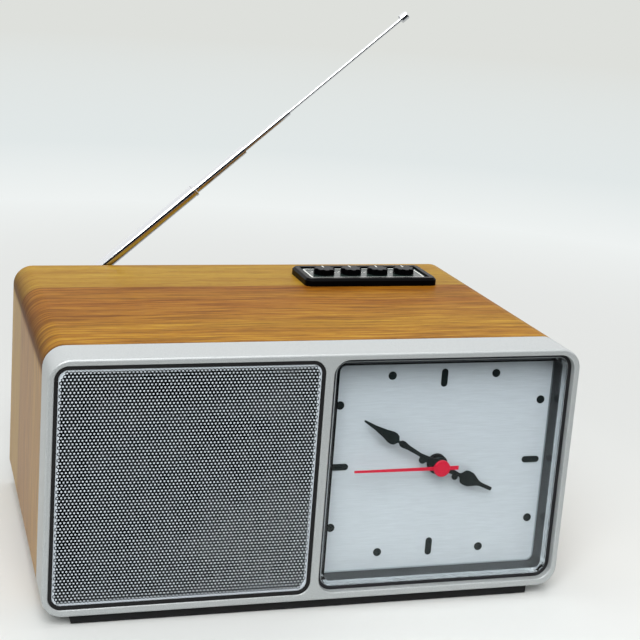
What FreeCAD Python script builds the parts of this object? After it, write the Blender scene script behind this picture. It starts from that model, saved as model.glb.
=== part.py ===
import FreeCAD, Part
import math
import os

# Talking clock with a radio: a veneered cabinet with a silver bezel, a speaker behind a
# grille on the left, a quartz clock behind a clear cover on the right, four knobs in a
# raised panel on top and a telescopic aerial on the back. Millimetres, +Z up, +Y to the
# back. The origin is under the middle of the whole object, on the surface it stands on.

# Cabinet
cabinet_height = 96.0
cabinet_depth = 130.0
corner_radius = 8.0
wood_thickness = 6.0
seam_gap = 0.6
foot_height = 4.0
foot_radius = 6.5
foot_inset_x = 22.0
foot_inset_front = 36.0
foot_inset_back = 22.0
foot_screw_grip = 4.5

# Bezel and baffle
bezel_lip = 2.3
bezel_lip_bottom = 2.8
bezel_back_wall = 2.0
mullion_width = 3.2
speaker_window_width = 97.3
speaker_window_radius = 5.0
clock_window_width = 94.9
clock_window_radius = 6.0
bezel_edge_radius = 0.9
window_edge_radius = 0.5
baffle_plate = 4.0
spigot_length = 5.0

# Fits
loose_fit = 0.1
running_fit = 0.05
free_gap = 0.3
overrun = 2.0
same_place = 0.001

# Speaker
gasket_width = 1.4
gasket_recess = 0.4
gasket_length = 7.6
grille_sheet = 0.8
grille_recess = 0.9
grille_flange = 7.0
grille_hole_radius = 1.7
grille_hole_pitch = 5.6
grille_margin = 5.0
speaker_rim_gap = 1.45
speaker_flange = 4.5
basket_sheet = 1.2
basket_depth = 20.5
cup_radius = 24.0
cup_depth = 6.2
basket_windows = 4
basket_window_share = 0.62
surround_width = 7.0
surround_height = 2.4
surround_sheet = 0.7
cone_sheet = 0.6
cone_depth = 13.0
dust_cap_radius = 12.0
dust_cap_height = 3.6
coil_radius = 9.1
coil_wall = 0.4
coil_length = 15.0
spider_sheet = 0.6
top_plate_thickness = 3.0
top_plate_radius = 22.0
magnet_thickness = 9.0
magnet_radius = 25.0
magnet_bore_radius = 12.5
yoke_thickness = 3.0
pole_gap = 0.4
speaker_screw_radius = 1.5
speaker_screw_head_radius = 2.4
speaker_screw_length = 8.0
speaker_screw_inset = 2.6

# Clock dial and cover
dial_frame_wall = 1.2
dial_frame_floor = 1.0
dial_frame_recess = 2.6
dial_recess = 11.2
dial_thickness = 0.5
cover_gap = 2.0
cover_recess = 0.8
cover_wall = 1.6
mark_thickness = 0.3
bar_width = 2.5
bar_length = 7.1
bar_margin_x = 8.35
bar_margin_z = 11.25
dot_radius = 1.6
outer_dot_margin = 6.85
inner_dot_margin = 9.95
outer_dot_slope_share = 0.601
inner_dot_slope_share = 0.589

# Hands, with the time as clockwise degrees from twelve
hour_angle_deg = 115.0
minute_angle_deg = 301.5
second_angle_deg = 270.0
hand_sheet = 0.4
hour_hand_length = 24.8
hour_leaf_width = 6.0
hour_hub_radius = 3.5
minute_hand_tip_gap = 4.35
minute_leaf_width = 4.8
minute_hub_radius = 3.1
second_hand_tip_gap = 7.05
second_hand_tail = 6.8
second_hand_width = 1.5
second_hub_radius = 3.2
second_hub_height = 1.0
hand_step = 1.25
nut_radius = 3.9
nut_height = 1.7
nut_step_radius = 3.2
nut_step_height = 0.6

# Clock movement
movement_top_reach = 28.0
movement_wall = 1.5
movement_corner_radius = 3.0
second_arbor_radius = 0.6
cannon_wall = 0.75
hour_tube_wall = 0.45
bushing_wall = 0.55
wheel_distance = 12.0
cannon_teeth = 12
minute_wheel_teeth = 36
minute_pinion_teeth = 10
hour_wheel_teeth = 40
wheel_thickness = 1.2
wheel_gap = 1.0
addendum_share = 0.80
dedendum_share = 1.15
tooth_width_share = 0.84
tooth_tip_share = 0.50
tooth_root_share = 1.35
minute_wheel_arbor_radius = 0.7
pivot_depth = 1.0
set_spindle_radius = 1.5
set_knob_radius = 7.5
set_knob_height = 5.6
set_knob_flutes = 12
flute_radius = 1.0
motor_coil_radius = 3.6
motor_coil_length = 16.0
motor_plate = 1.0
motor_plate_width = 11.9
cell_radius = 7.1
cell_length = 49.2
cell_cap_radius = 2.7
cell_cap_height = 1.0
cell_end_gap = 1.4
cell_back_gap = 1.3

# Control panel on top
panel_length = 24.4
panel_height = 3.4
panel_corner_radius = 3.2
panel_chamfer = 1.0
panel_back_margin = 14.2
panel_ledge = 1.0
panel_rim = 3.0
panel_neck_inset = 2.2
panel_neck_depth = 8.6
plate_thickness = 1.0
plate_recess = 0.8
board_thickness = 1.6
knob_radius = 4.6
knob_height = 2.3
knob_count = 4
knob_spacing = 12.3
knob_end_margin = 11.55
knob_chamfer = 0.3
knob_lobes = 8
knob_lobe_radius = 1.0
knob_stem_radius = 1.4
knob_stem_length = 8.5
pot_gap = 1.9
pot_length = 11.0
pot_height = 7.0

# Back panel and what it carries
back_thickness = 3.0
back_recess = 2.0
block_size = 11.0
block_length = 14.0
back_screw_radius = 1.5
back_screw_head_radius = 3.0
back_screw_head = 1.6
back_screw_length = 12.0
aerial_block_shift = 34.0
battery_inset = 70.0
battery_count = 3
battery_cell_gap = 0.5
battery_wall = 1.5
battery_floor = 19.0
battery_cover_gap = 0.8
door_lip = 2.4
door_thickness = 2.0
door_grip_radius = 5.0
door_pin_radius = 0.7
door_pin_length = 1.5
contact_sheet = 0.3
vent_count = 6
vent_length = 26.0
vent_width = 1.8
vent_pitch = 4.4
vent_inset = 76.0
vent_drop = 40.0
dc_socket_inset = 8.0
socket_spacing = 16.0
switch_inset = 10.0
socket_height = 11.0
dc_nose_radius = 4.2
dc_bore_radius = 2.75
dc_pin_radius = 1.0
dc_bore_depth = 9.5
dc_body_width = 9.6
aux_nose_radius = 3.0
aux_bore_radius = 1.8
aux_bore_depth = 13.0
aux_body_width = 8.0
socket_body_length = 14.0
nose_proud = 0.6
switch_body_width = 13.0
switch_body_height = 7.0
switch_nub_width = 3.6
switch_nub_height = 2.6
switch_nub_proud = 1.6
switch_travel = 3.0

# Main board
main_board_width = 56.0
main_board_length = 56.0
main_board_inset = 26.0
pillar_height = 6.0
pillar_radius = 3.0
pillar_inset = 5.0
chip_size = 12.0
chip_height = 1.8
chip_inset = 15.0
can_count = 3
can_radius = 4.0
can_height = 11.0
can_spacing = 11.0
sink_width = 16.0
sink_height = 12.0
sink_fin = 1.2
sink_fins = 5

# Aerial
aerial_inset = 19.0
aerial_drop = 19.0
aerial_lift_deg = 41.0
aerial_rod_radius = 0.8
aerial_tube_walls = [0.55, 0.6, 0.5]
aerial_lengths = [74.5, 70.0, 69.0, 72.0]
aerial_held = [42.0, 43.0, 3.0]
aerial_root = 5.5
tip_radius = 1.9
tip_length = 3.6
tip_round = 0.6
elbow_gap = 0.45
tongue_thickness = 2.2
tongue_radius = 2.6
ear_thickness = 1.5
ear_radius = 3.2
elbow_pin_radius = 1.0
swivel_disc_radius = 5.0
swivel_disc_thickness = 0.8
swivel_shaft_radius = 1.8
bracket_radius = 6.4
bracket_height = 2.0
bracket_neck_radius = 4.0

# Places that follow from the sizes
cabinet_width = 2 * bezel_lip + speaker_window_width + mullion_width + clock_window_width
half_width = cabinet_width / 2
cabinet_bottom = foot_height
cabinet_top = foot_height + cabinet_height
baffle_face = dial_recess + dial_thickness + dial_frame_floor
bezel_depth = baffle_face + baffle_plate
shell_front = bezel_depth + seam_gap
back_outer = cabinet_depth - back_recess
back_inner = back_outer - back_thickness
bracket_top = back_outer + bracket_height
disc_start = bracket_top + loose_fit
disc_end = disc_start + swivel_disc_thickness
aerial_plane = disc_end + elbow_gap + tongue_radius
whole_depth = aerial_plane + ear_radius
front = -whole_depth / 2
window_bottom = cabinet_bottom + bezel_lip_bottom
window_top = cabinet_top - bezel_lip
window_height = window_top - window_bottom
window_middle = (window_bottom + window_top) / 2
speaker_left = -half_width + bezel_lip
speaker_right = speaker_left + speaker_window_width
clock_left = speaker_right + mullion_width
clock_right = clock_left + clock_window_width
speaker_x = (speaker_left + speaker_right) / 2
clock_x = (clock_left + clock_right) / 2
inner_bottom = cabinet_bottom + wood_thickness
inner_top = cabinet_top - wood_thickness
inner_half_width = half_width - wood_thickness
inner_radius = corner_radius - wood_thickness
dial_back = baffle_face - dial_frame_floor
dial_face = dial_back - dial_thickness
screw_inset = block_size / 2
back_screw_places = [(inner_half_width - screw_inset, inner_bottom + screw_inset),
                     (inner_half_width - screw_inset, inner_top - screw_inset),
                     (-inner_half_width + screw_inset, inner_bottom + screw_inset),
                     (-inner_half_width + aerial_block_shift + screw_inset, inner_top - screw_inset)]
foot_screw_top = cabinet_bottom + foot_screw_grip
foot_places = [(x, y) for x in (-half_width + foot_inset_x, half_width - foot_inset_x)
               for y in (front + foot_inset_front, front + cabinet_depth - foot_inset_back)]

pieces = {}


def vec(x, y, z):
    return FreeCAD.Vector(x, y, z)


def at(depth):
    # Depth behind the bezel's front face, as a Y place
    return front + depth


def box(x0, x1, y0, y1, z0, z1):
    return Part.makeBox(x1 - x0, y1 - y0, z1 - z0, vec(x0, y0, z0))


def rod_y(x, z, y0, y1, radius):
    return Part.makeCylinder(radius, y1 - y0, vec(x, y0, z), vec(0, 1, 0))


def rod_z(x, y, z0, z1, radius):
    return Part.makeCylinder(radius, z1 - z0, vec(x, y, z0), vec(0, 0, 1))


def tube_y(x, z, y0, y1, radius, bore):
    return rod_y(x, z, y0, y1, radius).cut(rod_y(x, z, y0 - overrun, y1 + overrun, bore))


def tube_z(x, y, z0, z1, radius, bore):
    return rod_z(x, y, z0, z1, radius).cut(rod_z(x, y, z0 - overrun, z1 + overrun, bore))


def rounded(shape, direction, radius):
    # Rounds the edges of a box that run along one direction
    chosen = [edge for edge in shape.Edges
              if abs(abs(edge.tangentAt(edge.FirstParameter).dot(direction)) - 1) < same_place]
    return shape.makeFillet(radius, chosen)


def slab_y(x0, x1, z0, z1, y0, y1, radius):
    return rounded(box(x0, x1, y0, y1, z0, z1), vec(0, 1, 0), radius)


def slab_z(x0, x1, y0, y1, z0, z1, radius):
    return rounded(box(x0, x1, y0, y1, z0, z1), vec(0, 0, 1), radius)


def turned_y(x, z, profile):
    # Revolves a profile of (radius, depth) points about an axis along Y
    points = [vec(x + r, at(depth), z) for r, depth in profile]
    face = Part.Face(Part.makePolygon(points + points[:1]))
    return face.revolve(vec(x, 0, z), vec(0, 1, 0), 360)


def edges_at_y(shape, y):
    return [edge for edge in shape.Edges
            if abs(edge.BoundBox.YMin - y) < same_place and abs(edge.BoundBox.YMax - y) < same_place]


def edges_at_z(shape, z):
    return [edge for edge in shape.Edges
            if abs(edge.BoundBox.ZMin - z) < same_place and abs(edge.BoundBox.ZMax - z) < same_place]


def turn_about_y(shape, x, z, angle_deg):
    # Turns clockwise as seen from the front
    turned = shape.copy()
    turned.rotate(vec(x, 0, z), vec(0, 1, 0), angle_deg)
    return turned


def fused(shapes):
    return shapes[0].multiFuse(shapes[1:]).removeSplitter()


# Cabinet shell: a veneered wooden sleeve, open at the front and the back, with a slot in
# its top for the neck of the control panel.
panel_x = clock_x
panel_y = at(cabinet_depth - panel_back_margin - panel_length / 2)
panel_width = knob_spacing * (knob_count - 1) + 2 * knob_end_margin
neck_half_x = panel_width / 2 - panel_neck_inset
neck_half_y = panel_length / 2 - panel_neck_inset


def make_cabinet_shell():
    outer = slab_y(-half_width, half_width, cabinet_bottom, cabinet_top,
                   at(shell_front), at(cabinet_depth), corner_radius)
    hollow = slab_y(-inner_half_width, inner_half_width, inner_bottom, inner_top,
                    at(shell_front) - overrun, at(cabinet_depth) + overrun, inner_radius)
    slot_x = neck_half_x + loose_fit
    slot_y = neck_half_y + loose_fit
    slot = slab_z(panel_x - slot_x, panel_x + slot_x, panel_y - slot_y, panel_y + slot_y,
                  inner_top - overrun, cabinet_top + overrun, panel_corner_radius - panel_ledge)
    shell = outer.cut(hollow).cut(slot)
    for x, y in foot_places:
        shell = shell.cut(rod_z(x, y, cabinet_bottom - overrun, foot_screw_top, back_screw_radius))
    # Glued corner blocks take the screws of the back panel
    blocks = [box(x - screw_inset, x + screw_inset, at(back_inner - block_length), at(back_inner),
                  z - screw_inset, z + screw_inset) for x, z in back_screw_places]
    shell = fused([shell] + blocks)
    for x, z in back_screw_places:
        shell = shell.cut(rod_y(x, z, at(back_outer - back_screw_length), at(back_inner) + overrun,
                                back_screw_radius))
    return shell


pieces["cabinet_shell"] = make_cabinet_shell()


# Front bezel: a moulded frame with a speaker window and a clock window, and a pocket at
# its back for the baffle.
def window_slab(x0, x1, inset, depth0, depth1, radius):
    return slab_y(x0 + inset, x1 - inset, window_bottom + inset, window_top - inset,
                  at(depth0), at(depth1), radius - inset)


def on_outline(edge):
    # True for an edge that lies on one of the cabinet's four sides or in its corners
    reach = edge.BoundBox
    return (reach.XMin < -half_width + same_place or reach.XMax > half_width - same_place
            or reach.ZMin < cabinet_bottom + same_place or reach.ZMax > cabinet_top - same_place)


def make_front_bezel():
    outer = slab_y(-half_width, half_width, cabinet_bottom, cabinet_top,
                   at(0), at(bezel_depth), corner_radius)
    pocket = slab_y(-half_width + bezel_back_wall, half_width - bezel_back_wall,
                    cabinet_bottom + bezel_back_wall, cabinet_top - bezel_back_wall,
                    at(baffle_face), at(bezel_depth) + overrun, corner_radius - bezel_back_wall)
    frame = outer.cut(pocket)
    for x0, x1, radius in [(speaker_left, speaker_right, speaker_window_radius),
                           (clock_left, clock_right, clock_window_radius)]:
        frame = frame.cut(window_slab(x0, x1, 0, -overrun, bezel_depth, radius))
    frame = frame.makeFillet(window_edge_radius, [edge for edge in edges_at_y(frame, at(0))
                                                  if not on_outline(edge)])
    return frame.makeFillet(bezel_edge_radius, [edge for edge in edges_at_y(frame, at(0))
                                                if on_outline(edge)])


pieces["front_bezel"] = make_front_bezel()


# Front baffle: the board that joins bezel and cabinet and carries speaker and clock.
speaker_radius = min(speaker_window_width, window_height) / 2 - speaker_rim_gap
basket_radius = speaker_radius - speaker_flange
basket_clear_radius = basket_radius + free_gap
speaker_screw_reach = speaker_radius - speaker_screw_inset
speaker_screw_places = []
for turn in range(4):
    corner = math.radians(45 + 90 * turn)
    speaker_screw_places.append((speaker_x + speaker_screw_reach * math.cos(corner),
                                 window_middle + speaker_screw_reach * math.sin(corner)))

# The movement is as wide as its cell and has the cell's bay under the gears
hour_module = 2 * wheel_distance / (minute_pinion_teeth + hour_wheel_teeth)
hour_wheel_reach = hour_module * (hour_wheel_teeth / 2 + addendum_share)
movement_width = cell_length + cell_cap_height + 2 * (cell_end_gap + movement_wall)
movement_depth = movement_wall + 2 * cell_radius + cell_back_gap
movement_left = clock_x - movement_width / 2
movement_right = clock_x + movement_width / 2
movement_top = window_middle + movement_top_reach
bay_top = window_middle - hour_wheel_reach - free_gap - movement_wall
movement_bottom = bay_top - 2 * (cell_radius + free_gap) - movement_wall


def make_front_baffle():
    wall = bezel_back_wall + loose_fit
    plate = slab_y(-half_width + wall, half_width - wall, cabinet_bottom + wall, cabinet_top - wall,
                   at(baffle_face), at(bezel_depth), corner_radius - wall)
    spigot = slab_y(-inner_half_width + loose_fit, inner_half_width - loose_fit,
                    inner_bottom + loose_fit, inner_top - loose_fit,
                    at(bezel_depth), at(bezel_depth + spigot_length), inner_radius)
    board = plate.fuse(spigot)
    board = board.cut(rod_y(speaker_x, window_middle, at(0), at(cabinet_depth), basket_clear_radius))
    board = board.cut(slab_y(movement_left - loose_fit, movement_right + loose_fit,
                             movement_bottom - loose_fit, movement_top + loose_fit,
                             at(0), at(cabinet_depth), movement_corner_radius + loose_fit))
    screw_end = at(baffle_face + speaker_screw_length)
    for x, z in speaker_screw_places:
        board = board.cut(rod_y(x, z, at(0), screw_end, speaker_screw_radius))
    return board.removeSplitter()


pieces["front_baffle"] = make_front_baffle()


# Speaker front: rubber gasket ring and the folded grille tray.
def make_speaker_gasket():
    end = gasket_recess + gasket_length
    outer = window_slab(speaker_left, speaker_right, 0, gasket_recess, end, speaker_window_radius)
    inner = window_slab(speaker_left, speaker_right, gasket_width, 0, end + overrun,
                        speaker_window_radius)
    return outer.cut(inner)


def grille_holes():
    # Staggered rows of six-sided holes. The real sheet has a round hole every 2 mm, and this
    # pattern is coarser.
    y0 = at(grille_recess) - overrun
    y1 = at(grille_recess + grille_sheet) + overrun
    corners = [math.radians(60 * corner) for corner in range(7)]
    points = [vec(grille_hole_radius * math.sin(turn), y0, grille_hole_radius * math.cos(turn))
              for turn in corners]
    hole = Part.Face(Part.makePolygon(points)).extrude(vec(0, y1 - y0, 0))
    row_pitch = grille_hole_pitch * math.sin(math.radians(60))
    reach_x = speaker_window_width / 2 - grille_margin
    reach_z = window_height / 2 - grille_margin
    rows = math.floor(reach_z / row_pitch)
    holes = []
    for row in range(-rows, rows + 1):
        shift = grille_hole_pitch / 2 * (row % 2)
        steps = math.floor((reach_x - shift) / grille_hole_pitch)
        for step in range(-steps - row % 2, steps + 1):
            place = vec(speaker_x + shift + step * grille_hole_pitch, 0,
                        window_middle + row * row_pitch)
            holes.append(hole.translated(place))
    return Part.makeCompound(holes)


def make_speaker_grille():
    # A folded tray of perforated sheet
    end = grille_recess + grille_flange
    outer = window_slab(speaker_left, speaker_right, gasket_width, grille_recess, end,
                        speaker_window_radius)
    outer = outer.makeFillet(grille_sheet, edges_at_y(outer, at(grille_recess)))
    hollow = window_slab(speaker_left, speaker_right, gasket_width + grille_sheet,
                         grille_recess + grille_sheet, end + overrun, speaker_window_radius)
    return outer.cut(hollow).cut(grille_holes())


pieces["speaker_gasket"] = make_speaker_gasket()
pieces["speaker_grille"] = make_speaker_grille()

# Speaker driver. Its flange seats on the baffle and its parts follow one another back.
flange_face = baffle_face - basket_sheet
cone_rim_radius = basket_radius - basket_sheet - surround_width - free_gap
cone_neck_depth = baffle_face + cone_depth
cup_face = baffle_face + basket_depth - cup_depth
cup_back = baffle_face + basket_depth
magnet_face = cup_back + basket_sheet + top_plate_thickness
yoke_face = magnet_face + magnet_thickness
yoke_back = yoke_face + yoke_thickness
coil_outer_radius = coil_radius + coil_wall
gap_radius = coil_outer_radius + free_gap
pole_radius = coil_radius - pole_gap


def make_speaker_basket():
    s = basket_sheet
    profile = [(basket_radius - s, flange_face), (speaker_radius, flange_face),
               (speaker_radius, baffle_face), (basket_radius, baffle_face),
               (cup_radius, cup_face), (cup_radius, cup_back + s),
               (gap_radius, cup_back + s), (gap_radius, cup_back),
               (cup_radius - s, cup_back), (cup_radius - s, cup_face),
               (basket_radius - s, baffle_face)]
    basket = turned_y(speaker_x, window_middle, profile)
    width = basket_radius * basket_window_share
    for turn in range(basket_windows):
        opening = box(speaker_x - width / 2, speaker_x + width / 2,
                      at(baffle_face + baffle_plate + spigot_length), at(cup_face - basket_sheet),
                      window_middle, window_middle + speaker_radius)
        basket = basket.cut(turn_about_y(opening, speaker_x, window_middle,
                                         360 / basket_windows * turn))
    for x, z in speaker_screw_places:
        basket = basket.cut(rod_y(x, z, at(0), at(baffle_face), speaker_screw_radius))
    return basket


def make_speaker_surround():
    # A half roll of rubber glued to the inside of the flange
    roll = surround_width / 2
    middle = speaker_x + basket_radius - basket_sheet - roll
    y = at(flange_face)

    def on_roll(across, forward):
        return vec(middle + across, y - forward, window_middle)

    inner_roll = roll - surround_sheet
    outer_arc = Part.Arc(on_roll(roll, 0), on_roll(0, surround_height), on_roll(-roll, 0))
    inner_arc = Part.Arc(on_roll(-inner_roll, 0), on_roll(0, surround_height - surround_sheet),
                         on_roll(inner_roll, 0))
    wire = Part.Wire([outer_arc.toShape(), Part.makeLine(on_roll(-roll, 0), on_roll(-inner_roll, 0)),
                      inner_arc.toShape(), Part.makeLine(on_roll(inner_roll, 0), on_roll(roll, 0))])
    return Part.Face(wire).revolve(vec(speaker_x, 0, window_middle), vec(0, 1, 0), 360)


def make_speaker_cone():
    profile = [(cone_rim_radius, baffle_face), (cone_rim_radius, baffle_face + cone_sheet),
               (coil_outer_radius, cone_neck_depth + cone_sheet),
               (coil_outer_radius, cone_neck_depth), (cone_rim_radius - cone_sheet, baffle_face)]
    return turned_y(speaker_x, window_middle, profile)


def make_dust_cap():
    # A dome that seats on the cone where the cone is as wide as the cap
    slope = cone_depth / (cone_rim_radius - cone_sheet - coil_outer_radius)
    seat = cone_neck_depth - slope * (dust_cap_radius - coil_outer_radius)
    ball_radius = (dust_cap_radius ** 2 + dust_cap_height ** 2) / (2 * dust_cap_height)
    centre = vec(speaker_x, at(seat - dust_cap_height + ball_radius), window_middle)
    dome = Part.makeSphere(ball_radius, centre).cut(Part.makeSphere(ball_radius - cone_sheet, centre))
    return dome.common(rod_y(speaker_x, window_middle, at(seat - dust_cap_height) - overrun,
                             at(seat), dust_cap_radius))


spider_depth = cup_face + cup_depth / 2
pieces["speaker_basket"] = make_speaker_basket()
pieces["speaker_surround"] = make_speaker_surround()
pieces["speaker_cone"] = make_speaker_cone()
pieces["dust_cap"] = make_dust_cap()
pieces["voice_coil"] = tube_y(speaker_x, window_middle, at(cone_neck_depth),
                              at(cone_neck_depth + coil_length), coil_outer_radius, coil_radius)
pieces["speaker_spider"] = tube_y(speaker_x, window_middle, at(spider_depth),
                                  at(spider_depth + spider_sheet), cup_radius - basket_sheet,
                                  gap_radius)
pieces["magnet_top_plate"] = tube_y(speaker_x, window_middle, at(cup_back + basket_sheet),
                                    at(magnet_face), top_plate_radius, gap_radius)
pieces["speaker_magnet"] = tube_y(speaker_x, window_middle, at(magnet_face), at(yoke_face),
                                  magnet_radius, magnet_bore_radius)
pieces["magnet_yoke"] = fused([
    rod_y(speaker_x, window_middle, at(yoke_face), at(yoke_back), top_plate_radius),
    rod_y(speaker_x, window_middle, at(cup_back + basket_sheet), at(yoke_face), pole_radius)])


def make_screw_y(x, z, y_head, length, radius, head_radius, head, toward):
    # A pan head and its shank; toward is +1 when the shank runs to the back
    shank = rod_y(x, z, min(y_head, y_head + toward * length), max(y_head, y_head + toward * length),
                  radius)
    cap = rod_y(x, z, min(y_head, y_head - toward * head), max(y_head, y_head - toward * head),
                head_radius)
    cap = cap.makeChamfer(head / 4, edges_at_y(cap, y_head - toward * head))
    slot = box(x - head_radius, x + head_radius, y_head - toward * head - head / 2,
               y_head - toward * head + head / 2, z - head / 4, z + head / 4)
    return fused([cap, shank]).cut(slot)


pieces["speaker_screws"] = Part.makeCompound([
    make_screw_y(x, z, at(flange_face), speaker_screw_length - basket_sheet, speaker_screw_radius,
                 speaker_screw_head_radius, basket_sheet, 1) for x, z in speaker_screw_places])


# Arbor, cannon pinion, hour wheel and bushing run inside one another
second_bore = second_arbor_radius + running_fit
cannon_radius = second_bore + cannon_wall
cannon_bore = cannon_radius + running_fit
hour_tube_radius = cannon_bore + hour_tube_wall
hour_tube_bore = hour_tube_radius + running_fit
bushing_radius = hour_tube_bore + bushing_wall


# Dial frame: the black tray in the clock window that carries dial and cover
def make_dial_frame():
    outer = window_slab(clock_left, clock_right, 0, dial_frame_recess, baffle_face,
                        clock_window_radius)
    inner = window_slab(clock_left, clock_right, dial_frame_wall, 0, dial_back,
                        clock_window_radius)
    hole = rod_y(clock_x, window_middle, at(0), at(baffle_face) + overrun, bushing_radius)
    return outer.cut(inner).cut(hole)


def make_dial_plate():
    plate = window_slab(clock_left, clock_right, cover_gap, dial_face, dial_back,
                        clock_window_radius)
    return plate.cut(rod_y(clock_x, window_middle, at(0), at(baffle_face), bushing_radius))


def make_dial_cover():
    outer = window_slab(clock_left, clock_right, cover_gap, cover_recess, dial_face,
                        clock_window_radius)
    outer = outer.makeFillet(window_edge_radius, edges_at_y(outer, at(cover_recess)))
    hollow = window_slab(clock_left, clock_right, cover_gap + cover_wall,
                         cover_recess + cover_wall, dial_face + overrun, clock_window_radius)
    return outer.cut(hollow)


def make_bar(x, z, size_x, size_z):
    width = min(size_x, size_z)
    return slab_y(x - size_x / 2, x + size_x / 2, z - size_z / 2, z + size_z / 2,
                  at(dial_face - mark_thickness), at(dial_face), width / 2 - same_place)


def make_dial_markers():
    # Bars at the quarters and dots between them, in a rectangle that follows the window
    half_x = clock_window_width / 2
    half_z = window_height / 2
    outer_x = half_x - outer_dot_margin
    inner_z = half_z - inner_dot_margin
    dots = [(outer_x, outer_x * outer_dot_slope_share), (inner_z * inner_dot_slope_share, inner_z)]
    marks = []
    for side in (-1, 1):
        marks.append(make_bar(clock_x + side * (half_x - bar_margin_x), window_middle,
                              bar_length, bar_width))
        marks.append(make_bar(clock_x, window_middle + side * (half_z - bar_margin_z),
                              bar_width, bar_length))
        for up in (-1, 1):
            for x, z in dots:
                marks.append(rod_y(clock_x + side * x, window_middle + up * z,
                                   at(dial_face - mark_thickness), at(dial_face), dot_radius))
    return Part.makeCompound(marks)


pieces["dial_frame"] = make_dial_frame()
pieces["dial_plate"] = make_dial_plate()
pieces["dial_cover"] = make_dial_cover()
pieces["dial_markers"] = make_dial_markers()
pieces["dial_nut"] = fused([
    tube_y(clock_x, window_middle, at(dial_face - nut_height), at(dial_face), nut_radius,
           bushing_radius),
    tube_y(clock_x, window_middle, at(dial_face - nut_height - nut_step_height),
           at(dial_face - nut_height), nut_step_radius, bushing_radius)])

# Heights of the hands in front of the dial
hour_hand_back = dial_face - nut_height - nut_step_height - free_gap
hour_hand_face = hour_hand_back - hand_sheet
minute_hand_back = hour_hand_back - hand_step
minute_hand_face = minute_hand_back - hand_sheet
second_hand_back = minute_hand_back - hand_step
second_hand_face = second_hand_back - hand_sheet

# The hands end short of the cover's nearest wall
hand_room = min(clock_window_width, window_height) / 2 - cover_gap - cover_wall
minute_hand_length = hand_room - minute_hand_tip_gap
second_hand_length = hand_room - second_hand_tip_gap

# Half outlines of the hands as shares of the length and of half the leaf's width
minute_stem_shares = [(0.07, 1.05), (0.12, 0.62), (0.27, 0.30), (0.43, 0.38), (0.49, 0.56),
                      (0.52, 0.50), (0.545, 0.20), (0.56, 0.24), (0.585, 0.80), (0.62, 1.0),
                      (0.66, 0.98), (0.74, 0.66), (0.86, 0.34), (0.99, 0.17), (1.0, 0.08)]
hour_stem_shares = [(0.10, 0.80), (0.20, 0.36), (0.30, 0.30), (0.385, 0.22), (0.42, 0.40),
                    (0.46, 0.88), (0.51, 1.0), (0.60, 0.96), (0.66, 0.70), (0.74, 0.36),
                    (0.80, 0.26), (0.99, 0.24), (1.0, 0.16)]
minute_lobe_share = 0.215
minute_lobe_offset_share = 0.50
minute_lobe_radius_share = 0.62
hour_lobe_share = 0.33
hour_lobe_offset_share = 0.46
hour_lobe_radius_share = 0.42


def make_hand(length, leaf_width, shares, hub_radius, bore, back, lobe, side):
    # Built pointing to twelve; lobe holds its shares along, across and of radius
    half = leaf_width / 2
    y = at(back - hand_sheet)
    right = [vec(clock_x + half * v, y, window_middle + length * u) for u, v in shares]
    left = [vec(clock_x - half * v, y, window_middle + length * u) for u, v in reversed(shares)]
    outline = Part.makePolygon(right + left + right[:1])
    blade = Part.Face(outline).extrude(vec(0, hand_sheet, 0))
    hub = rod_y(clock_x, window_middle, y, y + hand_sheet, hub_radius)
    along, across, radius = lobe
    ball = rod_y(clock_x + side * half * across, window_middle + length * along,
                 y, y + hand_sheet, half * radius)
    bore_rod = rod_y(clock_x, window_middle, y - overrun, y + hand_sheet + overrun, bore)
    return fused([blade, hub, ball]).cut(bore_rod)


hour_hand = make_hand(hour_hand_length, hour_leaf_width, hour_stem_shares, hour_hub_radius,
                      hour_tube_radius, hour_hand_back,
                      (hour_lobe_share, hour_lobe_offset_share, hour_lobe_radius_share), 1)
minute_hand = make_hand(minute_hand_length, minute_leaf_width, minute_stem_shares,
                        minute_hub_radius, cannon_radius, minute_hand_back,
                        (minute_lobe_share, minute_lobe_offset_share, minute_lobe_radius_share), -1)
pieces["hour_hand"] = turn_about_y(hour_hand, clock_x, window_middle, hour_angle_deg)
pieces["minute_hand"] = turn_about_y(minute_hand, clock_x, window_middle, minute_angle_deg)


def make_second_hand():
    y = at(second_hand_face)
    half = second_hand_width / 2
    needle_shares = [(-second_hand_tail, 1.0), (0, 0.9), (second_hand_length, 0.55)]
    right = [vec(clock_x + half * v, y, window_middle + u) for u, v in needle_shares]
    left = [vec(clock_x - half * v, y, window_middle + u) for u, v in reversed(needle_shares)]
    needle = Part.Face(Part.makePolygon(right + left + right[:1])).extrude(vec(0, hand_sheet, 0))
    hub = rod_y(clock_x, window_middle, y - second_hub_height + hand_sheet, y + hand_sheet,
                second_hub_radius)
    hub = hub.makeChamfer(hand_sheet / 2, edges_at_y(hub, y - second_hub_height + hand_sheet))
    bore = rod_y(clock_x, window_middle, y, y + hand_sheet + overrun, second_arbor_radius)
    return fused([needle, hub]).cut(bore)


pieces["second_hand"] = turn_about_y(make_second_hand(), clock_x, window_middle, second_angle_deg)

# Clock movement. The case hangs on the dial frame by its bushing and the dial nut.
case_front = baffle_face
case_back = case_front + movement_depth
case_inner = case_front + movement_wall
cover_face = case_back - movement_wall
arbor_x = clock_x
arbor_z = window_middle + wheel_distance
set_x = clock_x + wheel_distance
set_z = arbor_z
hour_plane = case_inner + loose_fit
minute_plane = hour_plane + wheel_thickness + wheel_gap
minute_module = 2 * wheel_distance / (cannon_teeth + minute_wheel_teeth)
minute_end = minute_plane + wheel_thickness


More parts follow.
